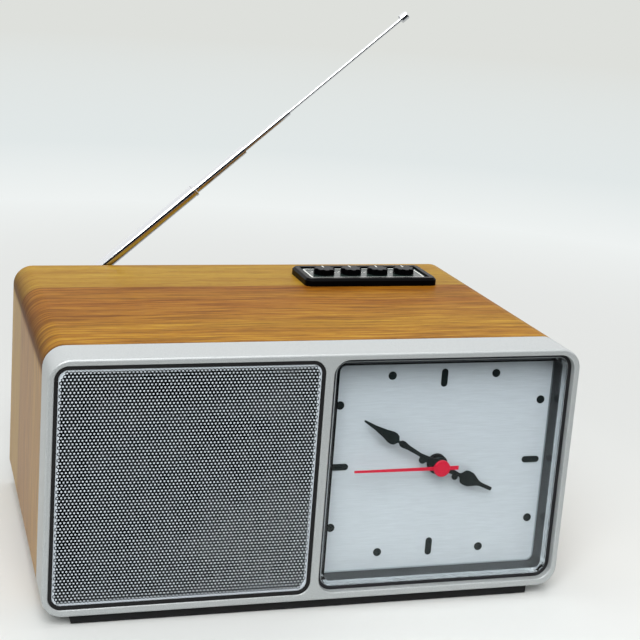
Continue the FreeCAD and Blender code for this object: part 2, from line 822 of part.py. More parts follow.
def make_movement_case():
    outer = slab_y(movement_left, movement_right, movement_bottom, movement_top,
                   at(case_front), at(case_back), movement_corner_radius)
    w = movement_wall
    gear_bay = box(movement_left + w, movement_right - w, at(case_inner), at(case_back) + overrun,
                   bay_top + w, movement_top - w)
    cell_bay = box(movement_left + w, movement_right - w, at(case_inner), at(case_back) + overrun,
                   movement_bottom + w, bay_top)
    case = outer.cut(gear_bay).cut(cell_bay)
    # The cover lies on a ledge that is as deep as the cover
    ledge = box(movement_left + w / 2, movement_right - w / 2, at(cover_face),
                at(case_back) + overrun, bay_top + w / 2, movement_top - w / 2)
    case = case.cut(ledge)
    bushing_face = dial_face - nut_height - nut_step_height
    bushing = rod_y(clock_x, window_middle, at(bushing_face), at(case_front), bushing_radius)
    case = case.fuse(bushing)
    case = case.cut(rod_y(clock_x, window_middle, at(0), at(case_inner) + overrun, hour_tube_bore))
    pivot_start = at(case_inner - pivot_depth)
    case = case.cut(rod_y(arbor_x, arbor_z, pivot_start, at(case_inner) + overrun,
                          minute_wheel_arbor_radius + running_fit))
    return case.cut(rod_y(set_x, set_z, pivot_start, at(case_inner) + overrun,
                          set_spindle_radius + running_fit)).removeSplitter()


def make_movement_cover():
    w = movement_wall / 2 + loose_fit
    plate = box(movement_left + w, movement_right - w, at(cover_face), at(case_back),
                bay_top + w, movement_top - w)
    blind = at(cover_face + pivot_depth)
    for x, z, radius in [(arbor_x, arbor_z, minute_wheel_arbor_radius),
                         (clock_x, window_middle, second_arbor_radius)]:
        plate = plate.cut(rod_y(x, z, at(cover_face) - overrun, blind, radius + running_fit))
    return plate.cut(rod_y(set_x, set_z, at(cover_face) - overrun, at(case_back) + overrun,
                           set_spindle_radius + running_fit))


def gear(x, z, depth, teeth, module, phase_deg, bore):
    # Straight-sided teeth, a little thinner than half the pitch so that they run free
    pitch_radius = module * teeth / 2
    tip_radius_here = pitch_radius + module * addendum_share
    root_radius = pitch_radius - module * dedendum_share
    half_deg = 90 / teeth * tooth_width_share
    points = []
    for tooth in range(teeth):
        middle = phase_deg + 360 / teeth * tooth
        for radius, offset in [(root_radius, -half_deg * tooth_root_share),
                               (tip_radius_here, -half_deg * tooth_tip_share),
                               (tip_radius_here, half_deg * tooth_tip_share),
                               (root_radius, half_deg * tooth_root_share)]:
            angle = math.radians(middle + offset)
            points.append(vec(x + radius * math.cos(angle), at(depth), z + radius * math.sin(angle)))
    wheel = Part.Face(Part.makePolygon(points + points[:1])).extrude(vec(0, wheel_thickness, 0))
    if bore:
        wheel = wheel.cut(rod_y(x, z, at(depth) - overrun, at(depth) + wheel_thickness + overrun, bore))
    return wheel


pieces["movement_case"] = make_movement_case()
pieces["movement_cover"] = make_movement_cover()
# At rest the cannon pinion's tooth points up into a gap of the minute wheel, whose
# pinion's tooth points down into a gap of the hour wheel.
pieces["cannon_pinion"] = fused([
    gear(clock_x, window_middle, minute_plane, cannon_teeth, minute_module, 90, second_bore),
    tube_y(clock_x, window_middle, at(minute_hand_face - hand_sheet), at(minute_end),
           cannon_radius, second_bore)])
pieces["hour_wheel"] = fused([
    gear(clock_x, window_middle, hour_plane, hour_wheel_teeth, hour_module,
         90 + 180 / hour_wheel_teeth, cannon_bore),
    tube_y(clock_x, window_middle, at(hour_hand_face - hand_sheet / 2),
           at(hour_plane + wheel_thickness), hour_tube_radius, cannon_bore)])
pieces["minute_wheel"] = fused([
    gear(arbor_x, arbor_z, minute_plane, minute_wheel_teeth, minute_module,
         -90 + 180 / minute_wheel_teeth, 0),
    gear(arbor_x, arbor_z, hour_plane, minute_pinion_teeth, hour_module, -90, 0),
    rod_y(arbor_x, arbor_z, at(case_inner - pivot_depth + running_fit),
          at(cover_face + pivot_depth - running_fit), minute_wheel_arbor_radius),
    rod_y(arbor_x, arbor_z, at(hour_plane), at(minute_end), minute_wheel_arbor_radius * 2)])
pieces["second_arbor"] = rod_y(clock_x, window_middle, at(second_hand_face),
                               at(cover_face + pivot_depth - running_fit), second_arbor_radius)


def make_cell(middle_x, y, z, side):
    # A penlight cell lying along X; side is +1 when its cap points to +X
    start = middle_x - side * (cell_length + cell_cap_height) / 2
    can = Part.makeCylinder(cell_radius, cell_length, vec(start, y, z), vec(side, 0, 0))
    cap = Part.makeCylinder(cell_cap_radius, cell_cap_height,
                            vec(start + side * cell_length, y, z), vec(side, 0, 0))
    return fused([can, cap])


def make_movement_motor():
    # Coil on its iron core between two stator plates, standing on the wall of the cell's bay
    left = movement_left + movement_wall + running_fit
    coil_y = at(cover_face - motor_coil_radius - running_fit)
    start = bay_top + movement_wall + running_fit + motor_plate
    coil = Part.makeCylinder(motor_coil_radius, motor_coil_length,
                             vec(left + motor_coil_radius, coil_y, start))
    plates = [box(left, left + motor_plate_width, coil_y - motor_coil_radius / 2,
                  coil_y + motor_coil_radius / 2, z, z + motor_plate)
              for z in (start - motor_plate, start + motor_coil_length)]
    return fused([coil] + plates)


def make_set_spindle():
    end = back_outer + back_recess
    shaft = rod_y(set_x, set_z, at(case_inner - pivot_depth + running_fit), at(end),
                  set_spindle_radius)
    pinion = gear(set_x, set_z, minute_plane, cannon_teeth, minute_module, 0, 0)
    return fused([shaft, pinion])


def make_time_set_knob():
    start = back_outer + free_gap
    knob = rod_y(set_x, set_z, at(start), at(start + set_knob_height), set_knob_radius)
    knob = knob.makeFillet(flute_radius / 2, edges_at_y(knob, at(start + set_knob_height)))
    for turn in range(set_knob_flutes):
        angle = math.radians(360 / set_knob_flutes * turn)
        knob = knob.cut(rod_y(set_x + set_knob_radius * math.cos(angle),
                              set_z + set_knob_radius * math.sin(angle),
                              at(start) - overrun, at(start + set_knob_height) + overrun,
                              flute_radius))
    return knob.cut(rod_y(set_x, set_z, at(start) - overrun, at(back_outer + back_recess),
                          set_spindle_radius))


pieces["clock_cell"] = make_cell(clock_x, at(case_inner + cell_radius + running_fit),
                                 movement_bottom + movement_wall + cell_radius + free_gap, 1)
pieces["movement_motor"] = make_movement_motor()
pieces["set_spindle"] = make_set_spindle()
pieces["time_set_knob"] = make_time_set_knob()

# Control panel: raised frame with a neck through the cabinet's top, a face plate on its
# ledge, a board under the neck, four potentiometers and four knobs.
neck_bottom = cabinet_top - panel_neck_depth
panel_top = cabinet_top + panel_height
plate_top = panel_top - plate_recess
plate_bottom = plate_top - plate_thickness
well_half_x = panel_width / 2 - panel_rim
well_half_y = panel_length / 2 - panel_rim
knob_xs = [panel_x + knob_spacing * (index - (knob_count - 1) / 2) for index in range(knob_count)]
pot_width = knob_spacing - pot_gap


def make_control_frame():
    top = slab_z(panel_x - panel_width / 2, panel_x + panel_width / 2,
                 panel_y - panel_length / 2, panel_y + panel_length / 2,
                 cabinet_top, panel_top, panel_corner_radius)
    top = top.makeChamfer(panel_chamfer, edges_at_z(top, panel_top))
    neck = slab_z(panel_x - neck_half_x, panel_x + neck_half_x,
                  panel_y - neck_half_y, panel_y + neck_half_y,
                  neck_bottom, cabinet_top, panel_corner_radius - panel_ledge)
    well = box(panel_x - well_half_x, panel_x + well_half_x, panel_y - well_half_y,
               panel_y + well_half_y, plate_bottom, panel_top + overrun)
    inner_x = well_half_x - panel_ledge
    inner_y = well_half_y - panel_ledge
    through = box(panel_x - inner_x, panel_x + inner_x, panel_y - inner_y, panel_y + inner_y,
                  neck_bottom - overrun, panel_top + overrun)
    return top.fuse(neck).removeSplitter().cut(well).cut(through)


def make_control_plate():
    plate = box(panel_x - well_half_x + loose_fit, panel_x + well_half_x - loose_fit,
                panel_y - well_half_y + loose_fit, panel_y + well_half_y - loose_fit,
                plate_bottom, plate_top)
    for x in knob_xs:
        plate = plate.cut(rod_z(x, panel_y, plate_bottom - overrun, plate_top + overrun,
                                knob_stem_radius + free_gap))
    return plate


def make_knob(x):
    bottom = plate_top + free_gap
    top = bottom + knob_height
    cap = rod_z(x, panel_y, bottom, top, knob_radius)
    cap = cap.makeChamfer(knob_chamfer, edges_at_z(cap, top))
    for turn in range(knob_lobes):
        angle = math.radians(360 / knob_lobes * (turn + 0.5))
        cap = cap.cut(rod_z(x + knob_radius * math.cos(angle), panel_y + knob_radius * math.sin(angle),
                            bottom + knob_chamfer, top + overrun, knob_lobe_radius))
    return fused([cap, rod_z(x, panel_y, bottom - knob_stem_length, bottom, knob_stem_radius)])


def make_potentiometers():
    pots = []
    top = neck_bottom + pot_height
    for x in knob_xs:
        body = box(x - pot_width / 2, x + pot_width / 2, panel_y - pot_length / 2,
                   panel_y + pot_length / 2, neck_bottom, top)
        stem_end = plate_top + free_gap - knob_stem_length
        pots.append(body.cut(rod_z(x, panel_y, stem_end - loose_fit, top + overrun,
                                   knob_stem_radius + running_fit)))
    return pots


pieces["control_frame"] = make_control_frame()
pieces["control_plate"] = make_control_plate()
for knob_name, knob_x in zip(["volume_knob", "tone_knob", "tuning_knob", "band_knob"], knob_xs):
    pieces[knob_name] = make_knob(knob_x)
pieces["control_board"] = Part.makeCompound([
    box(panel_x - neck_half_x, panel_x + neck_half_x, panel_y - neck_half_y,
        panel_y + neck_half_y, neck_bottom - board_thickness, neck_bottom)] + make_potentiometers())

# Back panel, its corner blocks and screws
battery_x = -half_width + battery_inset
battery_half_x = (cell_length + cell_cap_height) / 2 + contact_sheet * 2
battery_pitch = 2 * cell_radius + battery_cell_gap
battery_depth = battery_wall + 2 * cell_radius + battery_cover_gap
battery_bottom = inner_bottom + battery_floor
battery_top = battery_bottom + battery_pitch * battery_count
door_left = battery_x - battery_half_x - door_lip
door_right = battery_x + battery_half_x + door_lip
door_bottom = battery_bottom - door_lip
door_top = battery_top + door_lip
board_bottom = inner_bottom + pillar_height
board_top = board_bottom + board_thickness
socket_z = board_top + socket_height / 2
switch_z = board_top + switch_body_height / 2
board_back = back_inner - socket_body_length / 2
board_front = board_back - main_board_length
board_right = half_width - main_board_inset
board_left = board_right - main_board_width
dc_socket_x = board_left + dc_socket_inset
aux_socket_x = dc_socket_x + socket_spacing
switch_x = board_right - switch_inset
aerial_x = -half_width + aerial_inset
aerial_height = cabinet_top - aerial_drop


def door_pins(radius, length):
    return Part.makeCylinder(radius, door_right - door_left + 2 * length,
                             vec(door_left - length, at(back_outer - door_thickness / 2),
                                 door_bottom + door_thickness / 2), vec(1, 0, 0))


def make_back_panel():
    panel = slab_y(-inner_half_width + loose_fit, inner_half_width - loose_fit,
                   inner_bottom + loose_fit, inner_top - loose_fit,
                   at(back_inner), at(back_outer), inner_radius)
    start = at(back_inner) - overrun
    end = at(back_outer) + overrun
    for x, z in back_screw_places:
        panel = panel.cut(rod_y(x, z, start, end, back_screw_radius))
    for x, z, radius in [(dc_socket_x, socket_z, dc_nose_radius + loose_fit),
                         (aux_socket_x, socket_z, aux_nose_radius + loose_fit),
                         (set_x, set_z, set_spindle_radius + running_fit),
                         (aerial_x, aerial_height, bracket_neck_radius)]:
        panel = panel.cut(rod_y(x, z, start, end, radius))
    slot_half = switch_nub_width / 2 + switch_travel / 2 + free_gap
    panel = panel.cut(box(switch_x - slot_half, switch_x + slot_half, start, end,
                          switch_z - switch_nub_height / 2 - free_gap,
                          switch_z + switch_nub_height / 2 + free_gap))
    vent_x = half_width - vent_inset
    for index in range(vent_count):
        z = cabinet_top - vent_drop + vent_pitch * index
        panel = panel.cut(slab_y(vent_x - vent_length / 2, vent_x + vent_length / 2,
                                 z - vent_width / 2, z + vent_width / 2, start, end,
                                 vent_width / 2 - same_place))
    mouth = box(battery_x - battery_half_x, battery_x + battery_half_x, start, end,
                battery_bottom, battery_top)
    rebate = box(door_left - free_gap, door_right + free_gap,
                 at(back_outer - door_thickness) - loose_fit, end,
                 door_bottom - free_gap, door_top + free_gap)
    # The door's two pegs turn in holes in the sides of its rebate
    pin_hole = door_pins(door_pin_radius + running_fit, door_pin_length + running_fit)
    return panel.cut(mouth).cut(rebate).cut(pin_hole)


def make_battery_door():
    door = box(door_left, door_right, at(back_outer - door_thickness), at(back_outer),
               door_bottom, door_top)
    # Its lower edge is half round about the pegs that it tips out on
    low = [edge for edge in edges_at_z(door, door_bottom) if edge.BoundBox.XLength > door_thickness]
    door = door.makeFillet(door_thickness / 2 - same_place, low)
    door = door.fuse(door_pins(door_pin_radius, door_pin_length))
    grip = rod_y(battery_x, door_top - door_grip_radius, at(back_outer) - door_thickness / 2,
                 at(back_outer) + overrun, door_grip_radius / 2)
    return door.cut(grip).removeSplitter()


def make_battery_box():
    w = battery_wall
    outer = box(battery_x - battery_half_x - w, battery_x + battery_half_x + w,
                at(back_inner - battery_depth), at(back_inner), battery_bottom - w, battery_top + w)
    hollow = box(battery_x - battery_half_x, battery_x + battery_half_x,
                 at(back_inner - battery_depth + w), at(back_inner) + overrun,
                 battery_bottom, battery_top)
    return Part.makeCompound([outer.cut(hollow)] + make_battery_contacts())


cell_y = at(back_inner - battery_depth + battery_wall + cell_radius + running_fit)


def make_battery_cells():
    return Part.makeCompound([
        make_cell(battery_x, cell_y, battery_bottom + battery_pitch * (row + 0.5), 1 - 2 * (row % 2))
        for row in range(battery_count)])


def make_battery_contacts():
    contacts = []
    for side in (-1, 1):
        edge = battery_x + side * battery_half_x
        for row in range(battery_count):
            z = battery_bottom + battery_pitch * (row + 0.5)
            contacts.append(box(min(edge, edge - side * contact_sheet),
                                max(edge, edge - side * contact_sheet),
                                cell_y - cell_radius / 2, cell_y + cell_radius / 2,
                                z - cell_radius / 2, z + cell_radius / 2))
    return contacts


def make_back_screws():
    return Part.makeCompound([
        make_screw_y(x, z, at(back_outer), back_screw_length, back_screw_radius,
                     back_screw_head_radius, back_screw_head, -1) for x, z in back_screw_places])


pieces["back_panel"] = make_back_panel()
pieces["back_screws"] = make_back_screws()
pieces["battery_door"] = make_battery_door()
pieces["battery_box"] = make_battery_box()
pieces["battery_cells"] = make_battery_cells()

# Main board on four pillars, with its parts, sockets and switch
pillar_places = [(x, y) for x in (board_left + pillar_inset, board_right - pillar_inset)
                 for y in (at(board_front + pillar_inset), at(board_back - pillar_inset))]


def make_board_parts():
    start = at(board_front + pillar_inset + pillar_radius)
    chip_left = board_left + chip_inset
    chip = box(chip_left, chip_left + chip_size, start, start + chip_size,
               board_top, board_top + chip_height)
    can_y = start + chip_size + can_spacing
    cans = [rod_z(board_left + pillar_inset + can_spacing * (index + 1), can_y,
                  board_top, board_top + can_height, can_radius) for index in range(can_count)]
    sink_x = board_right - sink_width
    sink = box(sink_x, sink_x + sink_width, start, start + sink_fin * 2, board_top,
               board_top + sink_height)
    fins = [box(sink_x + (sink_width - sink_fin) / (sink_fins - 1) * index,
                sink_x + (sink_width - sink_fin) / (sink_fins - 1) * index + sink_fin,
                start + sink_fin * 2, start + sink_fin * 6, board_top, board_top + sink_height)
            for index in range(sink_fins)]
    return [chip, fused([sink] + fins)] + cans


def make_dc_socket():
    half = dc_body_width / 2
    body = box(dc_socket_x - half, dc_socket_x + half, at(back_inner - socket_body_length),
               at(back_inner) - free_gap, board_top, board_top + socket_height)
    end = at(back_outer + nose_proud)
    nose = rod_y(dc_socket_x, socket_z, at(back_inner) - free_gap * 2, end, dc_nose_radius)
    bore = rod_y(dc_socket_x, socket_z, end - dc_bore_depth, end + overrun, dc_bore_radius)
    pin = rod_y(dc_socket_x, socket_z, end - dc_bore_depth, end - nose_proud, dc_pin_radius)
    return body.fuse(nose).cut(bore).fuse(pin).removeSplitter()


def make_aux_socket():
    half = aux_body_width / 2
    body = box(aux_socket_x - half, aux_socket_x + half, at(back_inner - socket_body_length),
               at(back_inner) - free_gap, board_top, board_top + socket_height)
    end = at(back_outer + nose_proud)
    nose = rod_y(aux_socket_x, socket_z, at(back_inner) - free_gap * 2, end, aux_nose_radius)
    bore = rod_y(aux_socket_x, socket_z, end - aux_bore_depth, end + overrun, aux_bore_radius)
    return fused([body, nose]).cut(bore)


switch_body_back = back_inner - free_gap
switch_track = switch_body_height / 2


def make_power_switch():
    half = switch_body_width / 2
    body = box(switch_x - half, switch_x + half, at(switch_body_back - switch_body_height),
               at(switch_body_back), board_top, board_top + switch_body_height)
    track_half = switch_nub_width / 2 + switch_travel / 2 + free_gap
    track = box(switch_x - track_half, switch_x + track_half,
                at(switch_body_back - switch_track), at(switch_body_back) + overrun,
                switch_z - switch_nub_height / 2 - loose_fit,
                switch_z + switch_nub_height / 2 + loose_fit)
    return body.cut(track)


def make_switch_slider():
    # At rest it stands at the left end of its travel, which is off
    left = switch_x - switch_travel / 2 - switch_nub_width / 2
    return box(left, left + switch_nub_width, at(switch_body_back - switch_track) + loose_fit,
               at(back_outer + switch_nub_proud),
               switch_z - switch_nub_height / 2, switch_z + switch_nub_height / 2)


pieces["main_board"] = Part.makeCompound([
    box(board_left, board_right, at(board_front), at(board_back), board_bottom, board_top)]
    + make_board_parts())
pieces["board_pillars"] = Part.makeCompound([
    rod_z(x, y, inner_bottom, board_bottom, pillar_radius) for x, y in pillar_places])
pieces["dc_socket"] = make_dc_socket()
pieces["aux_socket"] = make_aux_socket()
pieces["power_switch"] = make_power_switch()
pieces["switch_slider"] = make_switch_slider()


# Rubber feet with a recess for their screws
def make_foot(x, y):
    foot = rod_z(x, y, 0, foot_height, foot_radius)
    foot = foot.makeChamfer(foot_height / 4, edges_at_z(foot, 0))
    foot = foot.cut(rod_z(x, y, -overrun, foot_height / 2, back_screw_head_radius + free_gap))
    return foot.cut(rod_z(x, y, 0, foot_height + overrun, back_screw_radius))


def make_foot_screw(x, y):
    # The head lies in the foot's recess and the shank ends inside the wood
    shank = rod_z(x, y, foot_height / 2, foot_screw_top, back_screw_radius)
    head = rod_z(x, y, foot_height / 4, foot_height / 2, back_screw_head_radius)
    return fused([head, shank])


pieces["rubber_feet"] = Part.makeCompound([make_foot(x, y) for x, y in foot_places])
pieces["foot_screws"] = Part.makeCompound([make_foot_screw(x, y) for x, y in foot_places])

# Aerial. It is built standing upright over its elbow, then leant to its rest angle. Each
# section is sized from the one that slides inside it.
aerial_y = at(aerial_plane)
lean_deg = 90 - aerial_lift_deg
aerial_radii = [aerial_rod_radius]
for wall in reversed(aerial_tube_walls):
    aerial_radii.insert(0, aerial_radii[0] + loose_fit + wall)


def leant(shape):
    return turn_about_y(shape, aerial_x, aerial_height, lean_deg)


def make_aerial_bracket():
    flange = rod_y(aerial_x, aerial_height, at(back_outer), at(bracket_top), bracket_radius)
    flange = flange.makeChamfer(bracket_height / 4, edges_at_y(flange, at(bracket_top)))
    neck = rod_y(aerial_x, aerial_height, at(back_inner - bracket_height), at(back_outer),
                 bracket_neck_radius)
    bore = rod_y(aerial_x, aerial_height, at(back_inner - bracket_height) - overrun,
                 at(bracket_top) + overrun, swivel_shaft_radius + running_fit)
    return fused([flange, neck]).cut(bore)


def make_aerial_swivel():
    disc = rod_y(aerial_x, aerial_height, at(disc_start), at(disc_end), swivel_disc_radius)
    shaft = rod_y(aerial_x, aerial_height, at(back_inner - bracket_height), at(disc_start),
                  swivel_shaft_radius)
    ears = []
    inner = tongue_thickness / 2 + loose_fit
    for side in (-1, 1):
        x0 = aerial_x + side * inner
        x1 = aerial_x + side * (inner + ear_thickness)
        plate = box(min(x0, x1), max(x0, x1), at(disc_end), aerial_y,
                    aerial_height - ear_radius, aerial_height + ear_radius)
        round_end = Part.makeCylinder(ear_radius, ear_thickness,
                                      vec(min(x0, x1), aerial_y, aerial_height), vec(1, 0, 0))
        ears.append(plate.fuse(round_end))
    # The elbow's pin is riveted in both ears
    half = inner + ear_thickness
    pin = Part.makeCylinder(elbow_pin_radius, 2 * half, vec(aerial_x - half, aerial_y, aerial_height),
                            vec(1, 0, 0))
    return fused([disc, shaft, pin] + ears)


def upright(radius, z0, z1):
    return rod_z(aerial_x, aerial_y, aerial_height + z0, aerial_height + z1, radius)


def make_aerial_tube():
    half = tongue_thickness / 2
    tongue = box(aerial_x - half, aerial_x + half, aerial_y - tongue_radius,
                 aerial_y + tongue_radius, aerial_height, aerial_height + aerial_root)
    eye = Part.makeCylinder(tongue_radius, tongue_thickness,
                            vec(aerial_x - half, aerial_y, aerial_height), vec(1, 0, 0))
    top = aerial_root + aerial_lengths[0]
    tube = upright(aerial_radii[0], aerial_root, top)
    bore = upright(aerial_radii[0] - aerial_tube_walls[0], aerial_root + tongue_thickness,
                   top + overrun)
    hole = Part.makeCylinder(elbow_pin_radius + running_fit, tongue_thickness + 2 * overrun,
                             vec(aerial_x - half - overrun, aerial_y, aerial_height), vec(1, 0, 0))
    return fused([tongue, eye, tube]).cut(bore).cut(hole)


pieces["aerial_bracket"] = make_aerial_bracket()
pieces["aerial_swivel"] = leant(make_aerial_swivel())
pieces["aerial_tube"] = leant(make_aerial_tube())
section_top = aerial_root + aerial_lengths[0]
for index, name in enumerate(["aerial_section_two", "aerial_section_three", "aerial_rod"]):
    section_bottom = section_top - aerial_held[index]
    section_top = section_bottom + aerial_lengths[index + 1]
    section = upright(aerial_radii[index + 1], section_bottom, section_top)
    if index + 1 < len(aerial_tube_walls):
        section = section.cut(upright(aerial_radii[index + 1] - aerial_tube_walls[index + 1],
                                      section_bottom - overrun, section_top + overrun))
    else:
        tip = upright(tip_radius, section_top - tip_length, section_top)
        rim = edges_at_z(tip, aerial_height + section_top)
        section = fused([section, tip.makeFillet(tip_round, rim)])
    pieces[name] = leant(section)

os.makedirs("parts", exist_ok=True)
for name, shape in pieces.items():
    shape.exportStep("parts/" + name + ".step")
    solids = len(shape.Solids)
    print(name, solids, round(shape.Volume, 1), shape.isValid())
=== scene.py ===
# %% [markdown]
# # A talking clock with a radio
#
# The object is a small wooden cabinet with a silver front. A speaker sits behind a
# perforated sheet on the left, a quartz clock behind a clear cover on the right, four
# knobs stand in a raised panel on top and a telescopic aerial is folded out at the back.
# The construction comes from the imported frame. This file gives it its looks: finishes
# for every part, a finer speaker sheet, printed lines, light and a camera.

import math

import bmesh
import bpy
from mathutils import Matrix, Vector


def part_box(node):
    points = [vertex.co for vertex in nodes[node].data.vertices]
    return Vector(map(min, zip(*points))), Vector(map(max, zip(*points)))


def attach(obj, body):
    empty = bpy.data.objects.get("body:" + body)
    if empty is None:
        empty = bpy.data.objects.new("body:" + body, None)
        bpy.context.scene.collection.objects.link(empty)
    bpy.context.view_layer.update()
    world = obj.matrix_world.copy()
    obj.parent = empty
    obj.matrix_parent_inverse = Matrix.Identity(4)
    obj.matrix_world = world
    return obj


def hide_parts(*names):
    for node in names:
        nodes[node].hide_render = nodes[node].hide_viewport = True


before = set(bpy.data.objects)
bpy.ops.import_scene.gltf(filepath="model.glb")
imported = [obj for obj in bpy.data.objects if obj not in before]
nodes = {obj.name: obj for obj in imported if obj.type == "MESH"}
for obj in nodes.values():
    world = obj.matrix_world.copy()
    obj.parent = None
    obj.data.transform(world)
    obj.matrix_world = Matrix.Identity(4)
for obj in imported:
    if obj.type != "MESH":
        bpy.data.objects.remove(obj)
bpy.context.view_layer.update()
print(len(nodes), "parts came with the frame")

# %% [markdown]
# Blender works in metres and linear colour, while a maker thinks in millimetres and in
# the hex values of a paint chart. Two small helpers close that gap. A pattern's scale
# in Blender is a count per metre, so a third helper turns a real spacing into it.

# %% Units and colour
MM = 0.001


def per_metre(spacing_mm):
    """How many times a pattern with this spacing fits into a metre."""
    return 1.0 / (spacing_mm * MM)


def colour(hex_value):
    """Turns an sRGB value such as C6CBCC into linear red, green, blue and alpha."""
    parts = [int(hex_value[i:i + 2], 16) / 255 for i in (0, 2, 4)]
    linear = [c / 12.92 if c <= 0.04045 else ((c + 0.055) / 1.055) ** 2.4 for c in parts]
    return (*linear, 1.0)


print("mid grey is", [round(c, 3) for c in colour("808080")])

# %% [markdown]
# Every finish below is a small tree of nodes. Adding a node always means the same three
# things: make it, set its values, and link what feeds it. One function does all three,
# so each material reads as a list of what it is made of.

# %% Node helpers
def add(tree, kind, inputs=None, **settings):
    """Adds a node. An input takes a value, or the output socket of another node."""
    node = tree.nodes.new("ShaderNode" + kind)
    for name, value in settings.items():
        setattr(node, name, value)
    for name, value in (inputs or {}).items():
        if isinstance(value, bpy.types.NodeSocket):
            tree.links.new(value, node.inputs[name])
        else:
            node.inputs[name].default_value = value
    return node


def start(name, **values):
    """A new material: its tree, its shader and its object coordinates."""
    material = bpy.data.materials.new(name)
    material.use_nodes = True
    tree = material.node_tree
    shader = tree.nodes["Principled BSDF"]
    for socket, value in values.items():
        shader.inputs[socket.replace("_", " ")].default_value = value
    place = add(tree, "TexCoord").outputs["Object"]
    return material, tree, shader, place


finishes = {}
print("finishes made so far:", len(finishes))

# %% [markdown]
# Patterns come from noise, because wood, moulded plastic and drawn metal all vary without
# repeating. Their scales could be tuned by eye, but then nobody could tell what a number
# means. Here each pattern gets the spacing of its streaks or grains in millimetres, and a
# ramp or a range turns it into a tone or a roughness.

# %% Pattern helpers
def stretched(tree, place, x, y, z):
    """Coordinates that count spacings of x, y and z millimetres along the three axes."""
    scale = [per_metre(spacing) for spacing in (x, y, z)]
    return add(tree, "Mapping", {"Vector": place, "Scale": scale}).outputs["Vector"]


def noise(tree, place, scale=1.0, detail=2.0, roughness=0.5):
    """Noise between 0 and 1. Detail counts its finer layers, roughness their strength."""
    inputs = {"Vector": place, "Scale": scale, "Detail": detail, "Roughness": roughness}
    return add(tree, "TexNoise", inputs).outputs["Fac"]


def ramp(tree, factor, *stops):
    """A colour ramp whose stops are pairs of a position and a hex colour."""
    node = add(tree, "ValToRGB", {"Fac": factor})
    elements = node.color_ramp.elements
    while len(elements) < len(stops):
        elements.new(0.5)
    for element, (position, hex_value) in zip(elements, stops):
        element.position = position
        element.color = colour(hex_value)
    return node.outputs["Color"]


def spread(tree, factor, low, high, start_at=0.0, end_at=1.0):
    """Stretches a factor from start_at to end_at over the range from low to high."""
    inputs = {"Value": factor, "From Min": start_at, "From Max": end_at,
              "To Min": low, "To Max": high}
    return add(tree, "MapRange", inputs).outputs["Result"]


def bump(tree, shader, height, distance_mm, strength=1.0):
    """Turns a height pattern into small dents of a real depth."""
    inputs = {"Height": height, "Distance": distance_mm * MM, "Strength": strength}
    tree.links.new(add(tree, "Bump", inputs).outputs["Normal"], shader.inputs["Normal"])


print("a grain every 0.5 mm repeats", round(per_metre(0.5)), "times in a metre")

# %% [markdown]
# ## Painted shade and reflection on the veneer's corners
#
# The cabinet is fibreboard wrapped in real wood veneer under a satin lacquer. Where the
# sheet bends round an upper corner, painted shade makes it darker, and a painted reflection
# makes the flat side below greyer than the top. Two factors find these places. They are
# measured from the sleeve's own box, so they sit on its corners wherever those are.

# %% Painted shade and reflection on the corners
SHELL_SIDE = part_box("cabinet_shell")[1].x
SHELL_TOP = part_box("cabinet_shell")[1].z
BEND = 8 * MM
BEND_END = 2 * MM
STRIP_HEIGHT = 20 * MM
SIDE_DROP = 12 * MM
SIDE_BLEND = 3.5 * MM
SIDE_SHARE = 0.4
STRIP_SHARE = 0.85


def painted_corner_shade(tree, place):
    """Two factors: painted shade where the veneer is bent, and a painted reflection on the
    flat sides.
    """
    parts = add(tree, "SeparateXYZ", {"Vector": place}).outputs
    aside = add(tree, "Math", {0: parts["X"]}, operation="ABSOLUTE").outputs[0]
    outward = spread(tree, aside, 0.0, 1.0, SHELL_SIDE - BEND, SHELL_SIDE - BEND_END)
    height = spread(tree, parts["Z"], 0.0, 1.0, SHELL_TOP - STRIP_HEIGHT, SHELL_TOP)
    upward = ramp(tree, height, (0.45, "000000"), (0.57, "FFFFFF"), (0.7, "F0F0F0"),
                  (1.0, "606060"))
    both = add(tree, "Math", {0: outward, 1: upward}, operation="MULTIPLY").outputs[0]
    side_z = SHELL_TOP - SIDE_DROP
    low = spread(tree, parts["Z"], SIDE_SHARE, 0.0, side_z, side_z + SIDE_BLEND)
    side = add(tree, "Math", {0: outward, 1: low}, operation="MULTIPLY").outputs[0]
    return spread(tree, both, 0.0, STRIP_SHARE), side


print("the sleeve reaches", [round(v / MM, 1) for v in (SHELL_SIDE, SHELL_TOP)], "mm")

# %% [markdown]
# ## The veneer
#
# The sheet goes round the corners in one piece, so the grain runs along the top and then
# down the sides, and only changes from front to back. A wood texture would have to be
# turned for each face. Noise that is stretched very long in X and Z and is fine in Y
# fits whichever face it lands on. A second, slower noise bends the streaks, thin dark
# pores break them, and a join between two leaves of veneer shows a third of the way from
# the back.

# %% Veneer
LEAF_JOIN_Y = 24.8 * MM
LEAF_JOIN_BLUR = 0.2 * MM
WOOD_FRONT_Y = -52.0 * MM
WOOD_BACK_Y = 61.5 * MM


